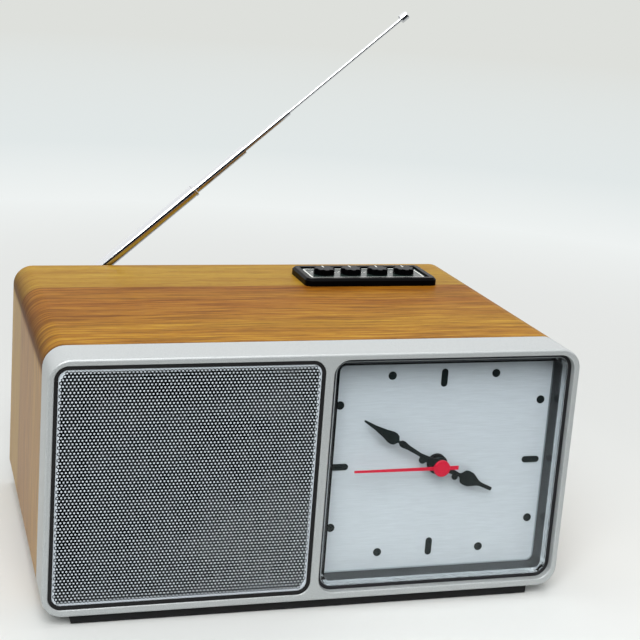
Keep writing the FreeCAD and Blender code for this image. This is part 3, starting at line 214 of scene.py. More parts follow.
def make_veneer():
    material, tree, shader, place = start("lacquered_oak_veneer")
    shader.inputs["Specular IOR Level"].default_value = 0.03
    drift = noise(tree, stretched(tree, place, 80, 35, 80), detail=2.0)
    sway = spread(tree, drift, -4 * MM, 4 * MM)
    shift = add(tree, "CombineXYZ", {"Y": sway}).outputs["Vector"]
    bent = add(tree, "VectorMath", {0: place, 1: shift}, operation="ADD").outputs["Vector"]
    depth = add(tree, "SeparateXYZ", {"Vector": place}).outputs["Y"]
    wild = noise(tree, stretched(tree, bent, 30, 1.7, 30), detail=6.0, roughness=0.62)
    calm = spread(tree, depth, 0.0, 0.65, LEAF_JOIN_Y - LEAF_JOIN_BLUR,
                  LEAF_JOIN_Y + LEAF_JOIN_BLUR)
    streaks = add(tree, "Mix", {"Factor": calm, 2: wild, 3: 0.56}).outputs[0]
    base = ramp(tree, streaks, (0.34, "6A401A"), (0.45, "9C682E"), (0.54, "B8823E"),
                (0.66, "D4A65C"))
    bands = noise(tree, stretched(tree, bent, 200, 9, 200), detail=3.0)
    tone = ramp(tree, bands, (0.34, "96602C"), (0.50, "B07C3C"), (0.66, "C49A50"))
    mixed = add(tree, "Mix", {"Factor": 0.35, 6: base, 7: tone}, data_type="RGBA").outputs[2]
    across = spread(tree, depth, 0.0, 1.0, WOOD_FRONT_Y, WOOD_BACK_Y)
    join = (LEAF_JOIN_Y - WOOD_FRONT_Y) / (WOOD_BACK_Y - WOOD_FRONT_Y)
    leaves = ramp(tree, across, (0.0, "F4F494"), (0.2, "E8E488"), (0.45, "DAC876"),
                  (join - 0.012, "D4C272"), (join - 0.004, "B89860"), (join + 0.004, "ECFFB8"),
                  (1.0, "F0FFBC"))
    toned = add(tree, "Mix", {"Factor": 1.0, 6: mixed, 7: leaves}, data_type="RGBA",
                blend_type="MULTIPLY").outputs[2]
    pores = noise(tree, stretched(tree, bent, 9, 0.3, 9), detail=3.0, roughness=0.7)
    dark = ramp(tree, pores, (0.34, "9A7850"), (0.46, "FFFFFF"))
    grained = add(tree, "Mix", {"Factor": 0.7, 6: toned, 7: dark}, data_type="RGBA",
                  blend_type="MULTIPLY").outputs[2]
    # Painted shade darkens the bend of the upper corners, and a painted reflection greys the
    # flat sides below
    edge, side = painted_corner_shade(tree, place)
    with_corner_shade = add(tree, "Mix", {"Factor": edge, 6: grained, 7: colour("4E2A04")},
                     data_type="RGBA").outputs[2]
    with_side_reflection = add(tree, "Mix", {"Factor": side, 6: with_corner_shade, 7: colour("D2BEA4")},
                 data_type="RGBA").outputs[2]
    tree.links.new(with_side_reflection, shader.inputs["Base Color"])
    tree.links.new(spread(tree, streaks, 0.5, 0.38), shader.inputs["Roughness"])
    bump(tree, shader, pores, 0.05, 0.5)
    return material


finishes["veneered_wood"] = make_veneer()
print("the veneer has", len(finishes["veneered_wood"].node_tree.nodes), "nodes")

# %% [markdown]
# ## Painted and moulded plastic
#
# The bezel is moulded ABS with a silver spray coat: a little metal flake, a soft sheen
# and a hardly visible orange peel. The black mouldings differ only in how polished their
# mould was, so one recipe with a spark-eroded texture serves them all. The texture is
# drawn coarser than a real one, or it would vanish in the picture.

# %% Plastics
def make_silver():
    material, tree, shader, place = start("silver_sprayed_abs", Metallic=0.3, Roughness=0.4)
    flakes = noise(tree, place, per_metre(0.35), detail=3.0)
    tone = ramp(tree, flakes, (0.35, "AAAFB0"), (0.65, "BCC0C0"))
    tree.links.new(tone, shader.inputs["Base Color"])
    tree.links.new(spread(tree, flakes, 0.36, 0.46), shader.inputs["Roughness"])
    peel = noise(tree, place, per_metre(1.2), detail=2.0)
    bump(tree, shader, peel, 0.02, 0.35)
    return material


def make_plastic(name, dark, light, low, high, grain_mm=0.5, depth_mm=0.03, shine=0.35):
    """Moulded plastic between two tones and two roughnesses, with a grained mould."""
    material, tree, shader, place = start(name)
    shader.inputs["Specular IOR Level"].default_value = shine
    grain = noise(tree, place, per_metre(grain_mm), detail=3.0)
    cloud = noise(tree, place, per_metre(14.0), detail=3.0)
    tree.links.new(ramp(tree, cloud, (0.3, dark), (0.7, light)), shader.inputs["Base Color"])
    tree.links.new(spread(tree, grain, low, high), shader.inputs["Roughness"])
    bump(tree, shader, grain, depth_mm, 0.6)
    return material


finishes["silver_plastic"] = make_silver()
finishes["black_plastic"] = make_plastic("black_grained_abs", "151517", "1E1E21", 0.45, 0.62)
finishes["gloss_black"] = make_plastic("black_gloss_abs", "030304", "060607", 0.2, 0.3,
                                       depth_mm=0.006, shine=0.03)
finishes["black_rubber"] = make_plastic("black_foam_rubber", "0A0A0B", "141415", 0.7, 0.9,
                                        grain_mm=0.3, depth_mm=0.06)
finishes["white_plastic"] = make_plastic("white_acetal", "DAD8CE", "E6E4DA", 0.35, 0.45)
finishes["panel_plate"] = make_plastic("dark_green_printed_plate", "1C2A28", "26332F", 0.2,
                                       0.3, depth_mm=0.006)
finishes["cell_jacket"] = make_plastic("wrapped_cell_foil", "2C3A4A", "384858", 0.25, 0.35)
finishes["board_green"] = make_plastic("solder_mask_green", "0E4A2C", "14603A", 0.3, 0.4)
print("made so far:", ", ".join(finishes))

# %% [markdown]
# ## Paper, board, ferrite and cloth
#
# Behind the speaker sheet sit a cone of pulp paper, a spider of resin-stiffened cloth and
# a magnet of ground ferrite, on a baffle of fibreboard that is stained black. All are
# matt, and differ in how coarse they are, so the plastic recipe serves here as well with
# rougher numbers.

# %% Matt inner parts
finishes["speaker_paper"] = make_plastic("black_pulp_paper", "131314", "1D1D1E", 0.75, 0.95,
                                         grain_mm=0.8, depth_mm=0.12)
finishes["fibreboard"] = make_plastic("black_stained_fibreboard", "0E0D0C", "171513", 0.75,
                                      0.9, grain_mm=0.6, depth_mm=0.08, shine=0.1)
finishes["ferrite"] = make_plastic("ground_ferrite", "1F1F21", "2B2B2E", 0.5, 0.6)
finishes["spider_cloth"] = make_plastic("resin_stiffened_cloth", "A88446", "C09A58", 0.7,
                                        0.85, grain_mm=0.7, depth_mm=0.15)
print(len(finishes), "finishes with the matt ones")

# %% [markdown]
# ## Metals
#
# Chrome, zinc, brass and copper are the same physics with another colour and another
# polish, so one recipe makes them all. Brass rod has fine lines along its length, which
# noise stretched along one axis gives. Round the voice coil the lines go the other way,
# so there the noise is fine along the axis and long across it.

# %% Metals
def make_metal(name, dark, light, low, high, stretch=(0.4, 0.4, 0.4), depth_mm=0.004):
    material, tree, shader, place = start(name, Metallic=1.0)
    lines = noise(tree, stretched(tree, place, *stretch), detail=4.0)
    tree.links.new(ramp(tree, lines, (0.3, dark), (0.7, light)), shader.inputs["Base Color"])
    tree.links.new(spread(tree, lines, low, high), shader.inputs["Roughness"])
    bump(tree, shader, lines, depth_mm, 0.5)
    return material


finishes["chrome_plate"] = make_metal("polished_chrome", "C4C6C9", "D2D4D6", 0.05, 0.1,
                                      depth_mm=0.0002)
finishes["speaker_steel"] = make_metal("zinc_plated_steel", "8C9096", "A8ABB0", 0.3, 0.42)
finishes["brass_metal"] = make_metal("turned_brass", "B8923F", "CFAA58", 0.22, 0.34,
                                     stretch=(0.3, 4, 0.3))
finishes["copper_coil"] = make_metal("enamelled_copper_wire", "8A4A22", "B4683A", 0.25, 0.35,
                                     stretch=(6, 0.25, 6))
print("the metals are", ", ".join(list(finishes)[-4:]))

# %% [markdown]
# ## Coated metal
#
# The dial has a satin silver coat, the speaker sheet a powder coat, and the hands are
# lacquered. A bare metal would mirror its surroundings, and the photograph shows them
# matt, so this recipe is paint with at most a little metal in it.

# %% Coats
def make_coat(name, dark, light, metallic, low, high, stretch, shine=0.4):
    """Paint or powder coat with a little metal in it."""
    material, tree, shader, place = start(name, Metallic=metallic)
    shader.inputs["Specular IOR Level"].default_value = shine
    grain = noise(tree, stretched(tree, place, *stretch), detail=4.0)
    tree.links.new(ramp(tree, grain, (0.3, dark), (0.7, light)), shader.inputs["Base Color"])
    tree.links.new(spread(tree, grain, low, high), shader.inputs["Roughness"])
    bump(tree, shader, grain, 0.01, 0.4)
    return material


finishes["dial_silver"] = make_coat("satin_silver_dial", "B8BEC4", "C2C8CE", 0.08, 0.42, 0.5,
                                    (6, 6, 0.35))
finishes["grille_steel"] = make_coat("grey_powder_coat", "C9D2DB", "DBE4EA", 0.15, 0.45, 0.6,
                                     (0.4, 0.4, 0.4))
finishes["hand_paint"] = make_coat("blued_black_lacquer", "0A1212", "101A1A", 0.0, 0.35, 0.42,
                                   (0.6, 0.6, 0.6), shine=0.15)
finishes["red_paint"] = make_coat("crimson_lacquer", "B8082A", "C80E34", 0.0, 0.35, 0.45,
                                  (0.6, 0.6, 0.6), shine=0.2)
print(len(finishes), "finishes with the metals and coats")

# %% [markdown]
# ## The clear cover
#
# The cover over the dial is a moulded acrylic box. Real transmission gives its bright
# edges and the bend of what is behind it. Light that has to reach the dial would be
# stopped by such a shader's shadow, so shadow rays see the cover as transparent. Acrylic
# has an index of refraction of 1.49. At that value the cover mirrors so much of the floor
# that the hands fade behind it, so a lower one is used.

# %% Clear acrylic
COVER_IOR = 1.25
WINDOW_SILL_Z = 8 * MM
WINDOW_TOP_Z = 96 * MM


def make_acrylic(name, transmission, roughness, *stops):
    """Clear plastic whose colour may change from the window's sill to its top, which on the
    inner walls is painted shade.
    """
    material, tree, shader, place = start(name, IOR=COVER_IOR, Roughness=roughness)
    shader.inputs["Transmission Weight"].default_value = transmission
    height = add(tree, "SeparateXYZ", {"Vector": place}).outputs["Z"]
    sill_to_top_tone = ramp(tree, spread(tree, height, 0.0, 1.0, WINDOW_SILL_Z, WINDOW_TOP_Z), *stops)
    tree.links.new(sill_to_top_tone, shader.inputs["Base Color"])
    wave = noise(tree, place, per_metre(18.0), detail=1.0)
    bump(tree, shader, wave, 0.005, 0.2)
    clear = add(tree, "BsdfTransparent", {"Color": colour("F6F8F8")}).outputs["BSDF"]
    shadow = add(tree, "LightPath").outputs["Is Shadow Ray"]
    inputs = {0: shadow, 1: shader.outputs["BSDF"], 2: clear}
    both = add(tree, "MixShader", inputs).outputs["Shader"]
    tree.links.new(both, tree.nodes["Material Output"].inputs["Surface"])
    return material


finishes["clear_acrylic"] = make_acrylic("clear_acrylic", 1.0, 0.01, (0.0, "FBFDFD"),
                                         (1.0, "F8FBFC"))
# The bevel's paler, cloudier acrylic is a painted highlight. The inner walls' ramp, light at
# the sill and near black at the top, is painted shade
painted_highlight_edge = make_acrylic("acrylic_edge_painted_highlight", 0.55, 0.22, (0.0, "D0D6DA"),
                            (1.0, "E2E7EA"))
painted_shade_wall = make_acrylic("acrylic_wall_painted_shade", 1.0, 0.05, (0.05, "C8D0D4"),
                           (0.5, "A8B0B4"), (1.0, "202426"))
print("the cover also wears", painted_highlight_edge.name, "and", painted_shade_wall.name)

# %% [markdown]
# Each part of the frame arrives with a plain material that carries the name of its
# slot. Swapping every one for the finish made for that slot dresses the whole object.
# Three parts wear the finish of another slot than their own.

# %% Dress the parts
own_finish = {"speaker_basket": "speaker_paper", "speaker_screws": "black_plastic",
              "dial_markers": "hand_paint"}
for name, part in nodes.items():
    slots = part.data.materials
    for index, plain in enumerate(slots):
        slots[index] = finishes[own_finish.get(name, plain.name.split(".")[0])]
print(len(finishes), "finishes on", len(nodes), "parts")

# %% [markdown]
# ## Tools for new pieces
#
# The frame's parts are exact but plain, so some get a finer piece of their own. A new
# piece is drawn in a bmesh, Blender's editable mesh, and then handed over with a body to
# ride on and a slot to colour it. The sheet, the cover and the printed border start from
# a rounded rectangle that is given a depth. A cube with a bevel would round its corners
# and its edges alike.

# %% Mesh helpers
SAME_PLACE = 0.01 * MM


def finish_mesh(bm, name, body, finish):
    """Turns a bmesh into a piece that rides on a body and wears a finish."""
    bmesh.ops.recalc_face_normals(bm, faces=bm.faces)
    mesh = bpy.data.meshes.new(name)
    bm.to_mesh(mesh)
    bm.free()
    mesh.materials.append(finishes[finish])
    piece = bpy.data.objects.new(name, mesh)
    bpy.context.scene.collection.objects.link(piece)
    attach(piece, body)
    return piece


def rounded_outline(bm, width, height, radius, steps=8):
    """A closed loop of edges round a rectangle in XZ with rounded corners."""
    verts = []
    for turn in range(4):
        side = Matrix.Rotation(turn * math.pi / 2, 3, "Y")
        across = (width, height) if turn % 2 == 0 else (height, width)
        for step in range(steps + 1):
            angle = step / steps * math.pi / 2
            x = across[0] / 2 - radius + radius * math.sin(angle)
            z = across[1] / 2 - radius + radius * math.cos(angle)
            verts.append(bm.verts.new(side @ Vector((x, 0, z))))
    return [bm.edges.new(pair) for pair in zip(verts, verts[1:] + verts[:1])]


def thicken(bm, faces, depth):
    """Gives flat faces in XZ a depth towards the back, with walls all round."""
    grown = bmesh.ops.extrude_face_region(bm, geom=faces)["geom"]
    moved = [v for v in grown if isinstance(v, bmesh.types.BMVert)]
    bmesh.ops.translate(bm, verts=moved, vec=(0, depth, 0))


print("points within", round(SAME_PLACE / MM, 3), "mm count as one")

# %% [markdown]
# ## The holes of the speaker sheet
#
# The real sheet is punched steel with small holes in a staggered pattern a little over a
# millimetre apart. A picture of holes would look flat from the side, so they are cut for
# real. A single hexagon is copied into a honeycomb, its cells outside the rounded field
# are dropped, and each remaining cell gets a hole by an inset. The pattern is drawn about
# a tenth coarser than the real one and its holes have six sides. There are thousands, so
# this keeps the mesh light, and they still read as round.

# %% Honeycomb of holes
HOLE_PITCH = 1.35 * MM
HOLE_RADIUS = 0.38 * MM
FIELD_MARGIN = 0.15 * MM
SHEET_CORNER = 3.6 * MM
FIRST_INSET = 0.1 * MM


def lay_honeycomb(bm, width, height):
    """Fills a rectangle in XZ with hexagons that lie side by side."""
    row = HOLE_PITCH * math.sqrt(3) / 2
    columns = math.ceil(width / HOLE_PITCH)
    pairs = math.ceil(height / row / 2)
    bmesh.ops.create_circle(bm, segments=6, radius=HOLE_PITCH / math.sqrt(3), cap_ends=True,
                            matrix=Matrix.Rotation(math.pi / 2, 4, "X"))
    for direction, count in (((HOLE_PITCH, 0, 0), columns), ((HOLE_PITCH / 2, 0, row), 1),
                             ((0, 0, row * 2), pairs)):
        bmesh.ops.spin(bm, geom=bm.faces, cent=(0, 0, 0), axis=(0, 1, 0), angle=0,
                       dvec=direction, steps=count, use_duplicate=True)
    centre = Vector((columns * HOLE_PITCH / 2 + HOLE_PITCH / 4, 0, pairs * row + row / 2))
    bmesh.ops.translate(bm, verts=bm.verts, vec=-centre)


def keep_rounded_field(bm, width, height):
    """Drops the hexagons that reach past the rounded field of holes."""
    def inside(point):
        x = abs(point.x) - (width / 2 - SHEET_CORNER)
        z = abs(point.z) - (height / 2 - SHEET_CORNER)
        reach = SHEET_CORNER - FIELD_MARGIN
        return max(x, z) < reach and math.hypot(max(x, 0), max(z, 0)) < reach

    outside = [f for f in bm.faces if not all(inside(v.co) for v in f.verts)]
    bmesh.ops.delete(bm, geom=outside, context="FACES")
    bmesh.ops.remove_doubles(bm, verts=bm.verts, dist=SAME_PLACE)


def open_holes(bm):
    """Opens a hole in every hexagon and returns the edges round the whole field."""
    cells = list(bm.faces)
    ring = [e for e in bm.edges if e.is_boundary]
    bmesh.ops.inset_individual(bm, faces=cells, thickness=FIRST_INSET, use_even_offset=False)
    for cell in cells:
        hub = cell.calc_center_median()
        for vert in cell.verts:
            vert.co = hub + (vert.co - hub).normalized() * HOLE_RADIUS
    bmesh.ops.delete(bm, geom=cells, context="FACES_ONLY")
    print(len(cells), "holes in the speaker sheet")
    return ring


print("holes of", round(2 * HOLE_RADIUS / MM, 2), "mm every", round(HOLE_PITCH / MM, 2), "mm")

# %% [markdown]
# ## The speaker sheet
#
# Round its field of holes the sheet has a narrow plain border, and its rim is folded
# back. A fill joins the honeycomb to a rounded outline, the whole is thickened, and a
# second ring behind it is drawn out to the depth of the rim. Such a sheet has black cloth
# behind it, so its back is black here. The walls of the holes wear the same black as
# painted shade.

# %% Speaker sheet
SHEET = 0.3 * MM
FRONT_SLOPE = -0.5


def fold_rim(bm, width, height, depth):
    """Draws a ring behind the sheet's edge out to the full depth."""
    inner = rounded_outline(bm, width - 2 * SHEET, height - 2 * SHEET, SHEET_CORNER - SHEET)
    outer = rounded_outline(bm, width, height, SHEET_CORNER)
    rim = bmesh.ops.bridge_loops(bm, edges=inner + outer)["faces"]
    bmesh.ops.translate(bm, verts=list({v for f in rim for v in f.verts}), vec=(0, SHEET, 0))
    thicken(bm, rim, depth - SHEET)


def make_grille():
    low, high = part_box("speaker_grille")
    width, depth, height = high - low
    middle = (low + high) / 2
    bm = bmesh.new()
    lay_honeycomb(bm, width, height)
    keep_rounded_field(bm, width, height)
    ring = open_holes(bm)
    ring += rounded_outline(bm, width, height, SHEET_CORNER)
    bmesh.ops.triangle_fill(bm, edges=ring, use_beauty=True, use_dissolve=False,
                            normal=(0, -1, 0))
    thicken(bm, list(bm.faces), SHEET)
    fold_rim(bm, width, height, depth)
    bmesh.ops.translate(bm, verts=bm.verts, vec=(middle.x, low.y, middle.z))
    piece = finish_mesh(bm, "speaker_sheet", "cabinet", "grille_steel")
    piece.data.materials.append(finishes["speaker_paper"])
    # Slot 1 is black: on the back of the sheet it stands for the cloth behind, and on the
    # walls of the holes it is painted shade
    for face in piece.data.polygons:
        in_sheet = face.center.y < low.y + SHEET + SAME_PLACE
        face.material_index = int(in_sheet and face.normal.y > FRONT_SLOPE)
    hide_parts("speaker_grille")
    piece.data.calc_loop_triangles()
    print("the sheet has", len(piece.data.loop_triangles), "triangles")


make_grille()

# %% [markdown]
# ## The clear cover
#
# The cover is a shallow moulded box, open at the back, that stands on the dial. It could
# be a cube with a shell modifier, but then its corners would be square. A rounded outline
# is filled, drawn out to the depth of the box and hollowed by an inset from behind, and
# its front edge is bevelled. Light runs along inside such walls and leaves at the edge,
# so the bevel wears a paler, cloudier acrylic as a painted highlight, and painted shade
# darkens the inner walls towards the top.

# %% Clear cover
COVER_SET_BACK = 1.6 * MM
COVER_SPREAD = 0.6 * MM
COVER_FACE = 1.5 * MM
COVER_WALL = 1.8 * MM
COVER_CORNER = 4.2 * MM
COVER_EDGE = 0.5 * MM
WALL_SLOPE = 0.05
FLAT_SLOPE = 0.95


def mark_faces(bm):
    """Gives the bevelled edge slot 1, its painted highlight, and the inner walls slot 2, their
    painted shade.
    """
    # The box is drawn round the origin, so the normal of an inner wall points towards it
    for face in bm.faces:
        slope = abs(face.normal.y)
        if WALL_SLOPE < slope < FLAT_SLOPE:
            face.material_index = 1
        elif slope < WALL_SLOPE and face.normal.dot(face.calc_center_median()) < 0:
            face.material_index = 2


def make_cover():
    low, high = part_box("dial_cover")
    width = high.x - low.x + 2 * COVER_SPREAD
    height = high.z - low.z + 2 * COVER_SPREAD
    depth = high.y - low.y - COVER_SET_BACK
    middle = (low + high) / 2
    bm = bmesh.new()
    outline = rounded_outline(bm, width, height, COVER_CORNER)
    face = bmesh.ops.contextual_create(bm, geom=outline)["faces"]
    thicken(bm, face, depth)
    bmesh.ops.recalc_face_normals(bm, faces=bm.faces)
    back = [f for f in bm.faces if f.normal.y > FLAT_SLOPE]
    bmesh.ops.inset_region(bm, faces=back, thickness=COVER_WALL)
    thicken(bm, back, COVER_FACE - depth)
    bmesh.ops.delete(bm, geom=back, context="FACES_ONLY")
    front = [e for e in bm.edges if all(v.co.y < SAME_PLACE for v in e.verts)]
    bmesh.ops.bevel(bm, geom=front, offset=COVER_EDGE, segments=3, profile=0.5,
                    affect="EDGES", material=-1)
    bmesh.ops.recalc_face_normals(bm, faces=bm.faces)
    mark_faces(bm)
    bmesh.ops.translate(bm, verts=bm.verts, vec=(middle.x, low.y + COVER_SET_BACK, middle.z))
    piece = finish_mesh(bm, "clear_cover", "cabinet", "clear_acrylic")
    piece.data.materials.append(painted_highlight_edge)
    piece.data.materials.append(painted_shade_wall)
    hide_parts("dial_cover")
    print("cover is", [round(v / MM, 1) for v in (width, depth, height)], "mm")


make_cover()

# %% [markdown]
# ## The rest strip, also painted shade
#
# Under the front edge the photograph shows a black band where light should fall into the
# gap. What it is can't be seen. This black strip just behind the bezel is painted shade
# that fills it. As a part, a strip of foam rubber is this model's guess. It is a box with
# its edges eased, as cut foam has no sharp ones.

# %% Rest strip, also painted shade
REST_LENGTH = 178 * MM
REST_DEPTH = 5 * MM
REST_SET_BACK = 2 * MM
REST_CLEAR = 0.3 * MM
REST_EASE = 0.4 * MM


def make_rest_and_shade_strip():
    low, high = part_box("front_bezel")
    height = low.z - REST_CLEAR
    bm = bmesh.new()
    place = Matrix.Translation((0, low.y + REST_SET_BACK + REST_DEPTH / 2, low.z - height / 2))
    grown = Matrix.Diagonal((REST_LENGTH, REST_DEPTH, height, 1))
    bmesh.ops.create_cube(bm, size=1.0, matrix=place @ grown)
    bmesh.ops.bevel(bm, geom=bm.edges, offset=REST_EASE, segments=2, profile=0.5,
                    affect="EDGES", material=-1)
    # The black strip fills the gap under the front edge with painted shade
    finish_mesh(bm, "front_rest_strip_painted_shade", "cabinet", "black_rubber")
    print("the strip is", [round(v / MM, 1) for v in (REST_LENGTH, REST_DEPTH, height)], "mm")


make_rest_and_shade_strip()

# %% [markdown]
# ## The aerial's collar
#
# The base tube of the aerial carries a rolled ring at its mouth. The inner sections have
# none here, as they slide in flush. A small profile turned once round the aerial's axis
# gives it. The tube's box tells both how thick the leaning tube is and how far it
# reaches, as its end stands square to an axis whose direction is known.

# %% Aerial collar
# The foot and direction of the aerial's joints, as in the record
AERIAL_FOOT = Vector((-81, 65.375, 81)) * MM
AERIAL_AXIS = Vector((0.75471, 0, 0.656059)).normalized()
COLLAR_LENGTH = 1.2 * MM
COLLAR_OUT = 0.2 * MM
COLLAR_IN = 0.08 * MM
COLLAR_EASE = 0.15 * MM


def make_collar(section, body):
    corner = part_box(section)[1] - AERIAL_FOOT
    dx, dz = AERIAL_AXIS.x, AERIAL_AXIS.z
    radius = (corner.z / dz - corner.x / dx) / (dx / dz - dz / dx)
    reach = (corner.x - dz * radius) / dx
    bm = bmesh.new()
    outside, inside = radius + COLLAR_OUT, radius - COLLAR_IN
    profile = [(inside, 0), (outside - COLLAR_EASE, 0), (outside, COLLAR_EASE),
               (outside, COLLAR_LENGTH - COLLAR_EASE),
               (outside - COLLAR_EASE, COLLAR_LENGTH), (inside, COLLAR_LENGTH)]
    verts = [bm.verts.new((distance, 0, along)) for distance, along in profile]
    edges = [bm.edges.new(pair) for pair in zip(verts, verts[1:] + verts[:1])]
    bmesh.ops.spin(bm, geom=verts + edges, cent=(0, 0, 0), axis=(0, 0, 1),
                   angle=2 * math.pi, steps=32, use_merge=True)
    tilt = AERIAL_AXIS.to_track_quat("Z", "Y").to_matrix().to_4x4()
    place = Matrix.Translation(AERIAL_FOOT + AERIAL_AXIS * (reach - COLLAR_LENGTH))
    bmesh.ops.transform(bm, matrix=place @ tilt, verts=bm.verts)
    finish_mesh(bm, section + "_collar", body, "chrome_plate")
    print(section, "radius", round(radius / MM, 2), "reach", round(reach / MM, 1))


make_collar("aerial_tube", "aerial_mast")

# %% [markdown]
# ## Print on the control panel
#
# The dark plate carries a thin white border and small white scale marks round the knobs,
# and each knob has a white pointer line. Such a plate is screen printed, which a picture
# on the surface could show. Here it is a film of ink with a real, very small thickness,
# so it also shows in the exported mesh, and a pointer turns with its knob.

# %% Printed border and marks
INK = 0.04 * MM
BORDER_INSET = 1.0 * MM
BORDER_FRONT = 2.4 * MM
BORDER_LINE = 0.75 * MM
BORDER_CORNER = 1.2 * MM
BORDER_INNER_CORNER = 0.6 * MM
PANEL_RIM = 3.0 * MM
MARK_COUNT = 7
MARK_REACH = math.radians(75)
MARK_SIZE = Vector((0.35, 0.9)) * MM
MARK_GAP = 0.5 * MM
POINTER_SIZE = Vector((0.6, 2.8)) * MM
POINTER_START = 0.8 * MM
KNOBS = ("volume", "tone", "tuning", "band")

finishes["white_ink"] = make_plastic("white_screen_ink", "E2E4DE", "ECEEE8", 0.4, 0.5)


def flatten(bm):
    """Lays what was drawn in XZ flat into XY, with its depth turned upwards."""
    bmesh.ops.rotate(bm, verts=bm.verts, cent=(0, 0, 0),
                     matrix=Matrix.Rotation(-math.pi / 2, 3, "X"))


def bar(bm, size, middle, angle=0.0):
    """A flat bar of ink in XY, turned about the middle of its scale."""
    turn = Matrix.Rotation(angle, 4, "Z")
    grown = Matrix.Diagonal((size.x, size.y, INK, 1))
    place = turn @ Matrix.Translation((middle.x, middle.y, INK / 2))
    bmesh.ops.create_cube(bm, size=1.0, matrix=place @ grown)


def make_print():
    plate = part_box("control_plate")
    frame_low, frame_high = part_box("control_frame")
    width = frame_high.x - frame_low.x - 2 * PANEL_RIM - 2 * BORDER_INSET
    length = frame_high.y - frame_low.y - 2 * PANEL_RIM - BORDER_INSET - BORDER_FRONT
    middle = (frame_low + frame_high) / 2
    middle.y += (BORDER_FRONT - BORDER_INSET) / 2
    bm = bmesh.new()
    outer = rounded_outline(bm, width, length, BORDER_CORNER)
    inner = rounded_outline(bm, width - 2 * BORDER_LINE, length - 2 * BORDER_LINE,
                            BORDER_INNER_CORNER)
    line = bmesh.ops.bridge_loops(bm, edges=outer + inner)["faces"]
    thicken(bm, line, -INK)
    flatten(bm)
    for knob in KNOBS:
        low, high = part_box(knob + "_knob")
        hub = (low + high) / 2 - middle
        reach = (high.x - low.x) / 2 + MARK_GAP + MARK_SIZE.y / 2
        for step in range(MARK_COUNT):
            angle = (step / (MARK_COUNT - 1) * 2 - 1) * MARK_REACH
            before = len(bm.verts)
            bar(bm, MARK_SIZE, Vector((0, reach)), angle)
            bm.verts.ensure_lookup_table()
            bmesh.ops.translate(bm, verts=bm.verts[before:], vec=(hub.x, hub.y, 0))
    bmesh.ops.translate(bm, verts=bm.verts, vec=(middle.x, middle.y, plate[1].z))
    finish_mesh(bm, "panel_print", "cabinet", "white_ink")


def make_pointers():
    for knob in KNOBS:
        low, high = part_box(knob + "_knob")
        bm = bmesh.new()
        bar(bm, POINTER_SIZE, Vector((0, POINTER_SIZE.y / 2 + POINTER_START)))
        hub = (low + high) / 2
        bmesh.ops.translate(bm, verts=bm.verts, vec=(hub.x, hub.y, high.z - INK / 2))
        finish_mesh(bm, knob + "_pointer", knob + "_control", "white_ink")


make_print()
make_pointers()
print(len(KNOBS), "knobs have a pointer and", MARK_COUNT, "marks each")

# %% [markdown]
# ## Base light and background
#
# The photograph is a product picture on white: a soft lamp overhead and slightly behind,
# a broad fill from the front, and a floor that runs into the background without a line.
# The world gives an even base light. Where the camera or the clear cover looks past the
# object it sees the pale tone of the far floor, with no more light on the object for it.
# Polished parts mirror a room that is dark low down and bright above, because chrome
# looks like chrome only where it has both to show.

# %% World
FAR_TONE = "DEE0DC"
BASE_LIGHT = 0.3
ROOM_LIGHT = 1.3
ROOM_UP = (0, 0.35, 1)
ROOM_BRIGHT_AT = 0.4


def make_world():
    world = bpy.data.worlds.new("white_studio")
    bpy.context.scene.world = world
    world.use_nodes = True
    tree = world.node_tree
    tree.nodes.clear()
    path = add(tree, "LightPath").outputs
    seen = add(tree, "Math", {0: path["Is Camera Ray"], 1: path["Is Transmission Ray"]},
               operation="MAXIMUM").outputs[0]
    direction = add(tree, "TexCoord").outputs["Generated"]
    raised = add(tree, "VectorMath", {0: direction, 1: ROOM_UP},
                 operation="DOT_PRODUCT").outputs["Value"]
    room = ramp(tree, spread(tree, raised, 0.0, 1.0, 0.0, ROOM_BRIGHT_AT), (0.0, "1A1D20"),
                (0.3, "34383C"), (0.65, "F0F3F5"), (1.0, "FFFFFF"))
    light = add(tree, "Background", {"Color": colour("FFFFFF"), "Strength": BASE_LIGHT})
    mirrored = add(tree, "Background", {"Color": room, "Strength": ROOM_LIGHT})
    white = add(tree, "Background", {"Color": colour(FAR_TONE), "Strength": 1.0})
    inputs = {0: path["Is Glossy Ray"], 1: light.outputs[0], 2: mirrored.outputs[0]}
    both = add(tree, "MixShader", inputs).outputs[0]
    all_three = add(tree, "MixShader", {0: seen, 1: both, 2: white.outputs[0]}).outputs[0]
    tree.links.new(all_three, add(tree, "OutputWorld").inputs["Surface"])


make_world()
print("the world is", bpy.context.scene.world.name)

# %% [markdown]
# ## The floor
#
# The floor is a large disc. Near the object it is matt and keeps the object's shadow.
# Further out it gives way to a glow that only the camera sees. Its tones follow the
# photograph and end in the background's own, so that no horizon shows. A plain white
# floor would need more light to look as bright, and the object would then be too bright.
# Mirrored in the clear cover, the bright floor in front would hide the hands, so there it
# is dark to mirrored rays.

# %% Floor
FLOOR_RADIUS = 6.0
GLOW_FROM, GLOW_FULL = 0.25, 0.7
TONES_FROM, TONES_TO = 0.3, 2.8
DARK_FROM_Y, DARK_TO_Y = -0.3, -0.08


